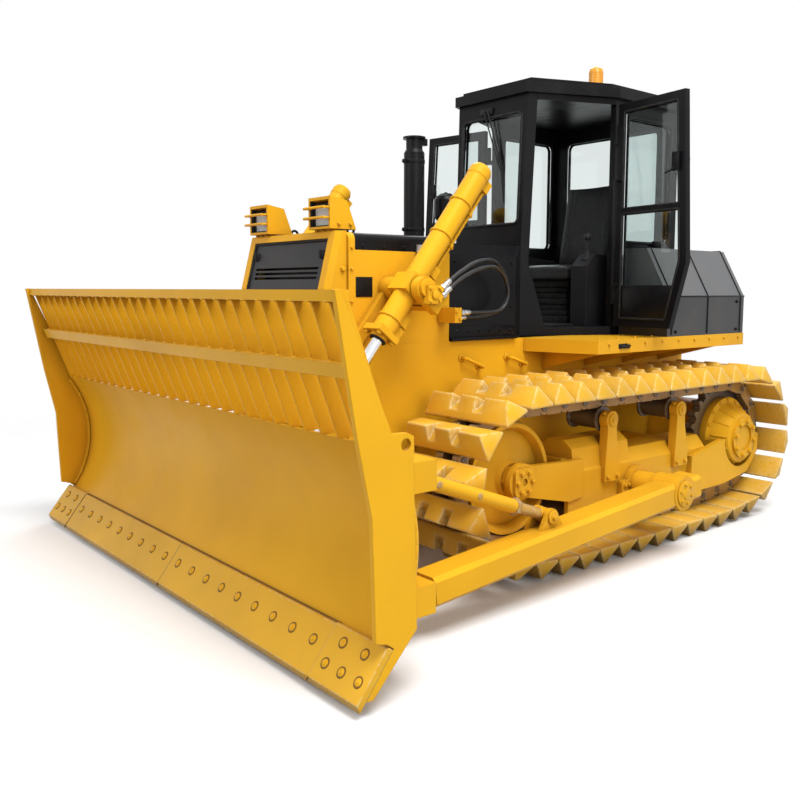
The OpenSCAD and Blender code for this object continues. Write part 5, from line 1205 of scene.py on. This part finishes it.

# Push arm and brace pins: bolted caps over the trunnions, locked plates on the clevis pins, round caps
# on the brace's pins, and the brace tube's turning holes, drawn as brown discs of painted shade, with its
# lock nut.
ARM_FACE = 1.484
CLEVIS_FACE = 1.452
CLEVIS_PIN = (3.430, 0.232)
BRACE_Y = 1.360
BRACE_REAR = (2.427, 0.449)
BRACE_FRONT = (3.570, 0.861)
for side, name in SIDES:
    out = Vector((0, side, 0))
    piece = open_piece(f"arm_pin_caps_{name}")
    hub = spot(SADDLE[0], side * ARM_FACE, SADDLE[1])
    rod(hub - out * 0.003, hub + out * 0.010, 0.082, 40)
    rod(hub + out * 0.010, hub + out * 0.016, 0.036, 32, 0.028)
    for place in around(hub + out * 0.010, 0.060, 6, 0.3):
        bolt(place, out, PLATE_SCREW)
    pin = spot(CLEVIS_PIN[0], side * CLEVIS_FACE, CLEVIS_PIN[1])
    rod(pin, pin + out * 0.014, 0.042, 32)
    block(pin + Vector((-0.095, -0.001 * side, -0.020)), pin + Vector((-0.024, 0.010 * side, 0.020)))
    for dx in (-0.082, -0.052):
        bolt(pin + Vector((dx, 0.010 * side, 0)), out, PANEL_SCREW)
    for x, z in (BRACE_REAR, BRACE_FRONT):
        cap = spot(x, side * 1.419, z)
        rod(cap, cap + out * 0.012, 0.038, 28)
        bolt(cap + out * 0.012, out, COVER_BOLT)
    close_piece(piece, "blade", yellow_paint, 0.002)
    piece = open_piece(f"brace_screw_{name}")
    foot, head = (spot(x, side * BRACE_Y, z) for x, z in (BRACE_REAR, BRACE_FRONT))
    way = (head - foot).normalized()
    for i in range(13):
        ring = foot + way * (0.060 + 0.014 * i)
        rod(ring, ring + way * 0.009, 0.031, 24, 0.027)
    rod(foot + way * 0.236, foot + way * 0.262, 0.050, 6)
    # two brown discs on the tube: painted shade for its turning holes
    for spread in (0.46, 0.70):
        hole = foot + way * (1.215 * spread) + out * 0.036
        rod(hole - out * 0.004, hole + out * 0.004, 0.017, 24)
    close_piece(piece, "blade", chain_paint, 0.001)

# Lift rams: yellow barrels with hard chrome rods. Four bolts hold the square head, clamps hold the oil
# pipe, and a black wiper ring seals the rod.
RAM_TOP = (2.838, 0.700, 1.675)
RAM_WAY = Vector((0.62416, 0, -0.78130))
RAM_UNDER = Vector((-0.78130, 0, -0.62416))
BARREL_R, PIPE_OUT = 0.065, 0.089
chrome = mottled("rod_chrome", (0.80, 0.81, 0.83), (0.66, 0.67, 0.69), (30.0, 3.0, 0.30, 0.80),
                 roughness=0.16, metal=1.0)
for name in ("ram_rod_left", "ram_rod_right"):
    finish_with(nodes[name], chrome)


def hoop(place, way, radius, wire):
    """A round ring about an axis."""
    bpy.ops.mesh.primitive_torus_add(
        location=place, rotation=way.to_track_quat("Z", "Y").to_euler(), major_radius=radius,
        minor_radius=wire, major_segments=40, minor_segments=10)


for side, name in SIDES:
    out = Vector((0, side, 0))
    top = spot(RAM_TOP[0], side * RAM_TOP[1], RAM_TOP[2])
    piece = open_piece(f"ram_bolts_{name}")
    for a in (-0.054, 0.054):
        for b in (-0.054, 0.054):
            bolt(top + RAM_WAY * 0.336 + RAM_UNDER * a + out * b, RAM_WAY, FRAME_BOLT)
    for along in (-0.62, -0.38, 0.22):
        middle = top + RAM_WAY * along
        hoop(middle, RAM_WAY, BARREL_R + 0.001, 0.008)
        pipe = middle + RAM_UNDER * PIPE_OUT
        rod(pipe - RAM_WAY * 0.014, pipe + RAM_WAY * 0.014, 0.018, 20)
        rod(middle + RAM_UNDER * (BARREL_R - 0.008), pipe, 0.011, 10)
        bolt(pipe + RAM_UNDER * 0.016, RAM_UNDER, SHEET_SCREW)
    close_piece(piece, f"ram_{name}_barrel", yellow_paint)
    piece = open_piece(f"ram_wiper_{name}")
    hoop(top + RAM_WAY * 0.359, RAM_WAY, 0.0435, 0.006)
    close_piece(piece, f"ram_{name}_barrel", black_rubber)
    piece = open_piece(f"rod_eye_pins_{name}")
    eye = spot(MOLD_X - 0.1268, side * RAM_TOP[1], 0.6984)
    for face in (-1, 1):
        rim = eye + Vector((0, face * 0.085, 0))
        rod(rim - Vector((0, face * 0.003, 0)), rim + Vector((0, face * 0.012, 0)), 0.052, 32)
        for place in around(rim + Vector((0, face * 0.012, 0)), 0.034, 3, 0.4):
            bolt(place, (0, face, 0), SHEET_SCREW)
    close_piece(piece, "blade", yellow_paint)

# Ram yokes: swivel blocks bolted on the outer cheeks pass the oil to the hoses. The hoses end in plated
# sleeves and hexagon nuts, here and at the hood's bracket.
SWIVEL = (2.765, 2.860, 1.590, 1.690, 0.890)
for side, name in SIDES:
    out = Vector((0, side, 0))
    piece = open_piece(f"yoke_bolts_{name}")
    x0, x1, z0, z1, face = SWIVEL
    bolt_rows((x0 + 0.015, x1 - 0.015), side * face, (z0 + 0.015, z1 - 0.015), out, PLATE_SCREW)
    rod(spot(2.812, side * (face - 0.002), 1.640), spot(2.812, side * (face + 0.010), 1.640), 0.024, 24)
    for dx, dz in ((0.037, 0.047), (-0.037, -0.047)):
        bolt(spot(2.423 + dx * 0.4, side * 0.660, 1.515 + dz * 0.5), out, PLATE_SCREW)
    close_piece(piece, "root", yellow_paint)
    piece = open_piece(f"hose_ends_{name}")
    for route in (LONG_HOSE, SHORT_HOSE):
        points = [spot(x, side * y, z) for x, y, z in route]
        for end, inward in ((points[0], points[1]), (points[-1], points[-2])):
            way = (end - inward).normalized()
            rod(end - way * 0.036, end + way * 0.020, 0.0175, 20)
            rod(end - way * 0.040, end - way * 0.036, 0.0140, 20, 0.0175)
            rod(end + way * 0.020, end + way * 0.044, 0.0230, 6)
    close_piece(piece, "root", zinc, 0.001)
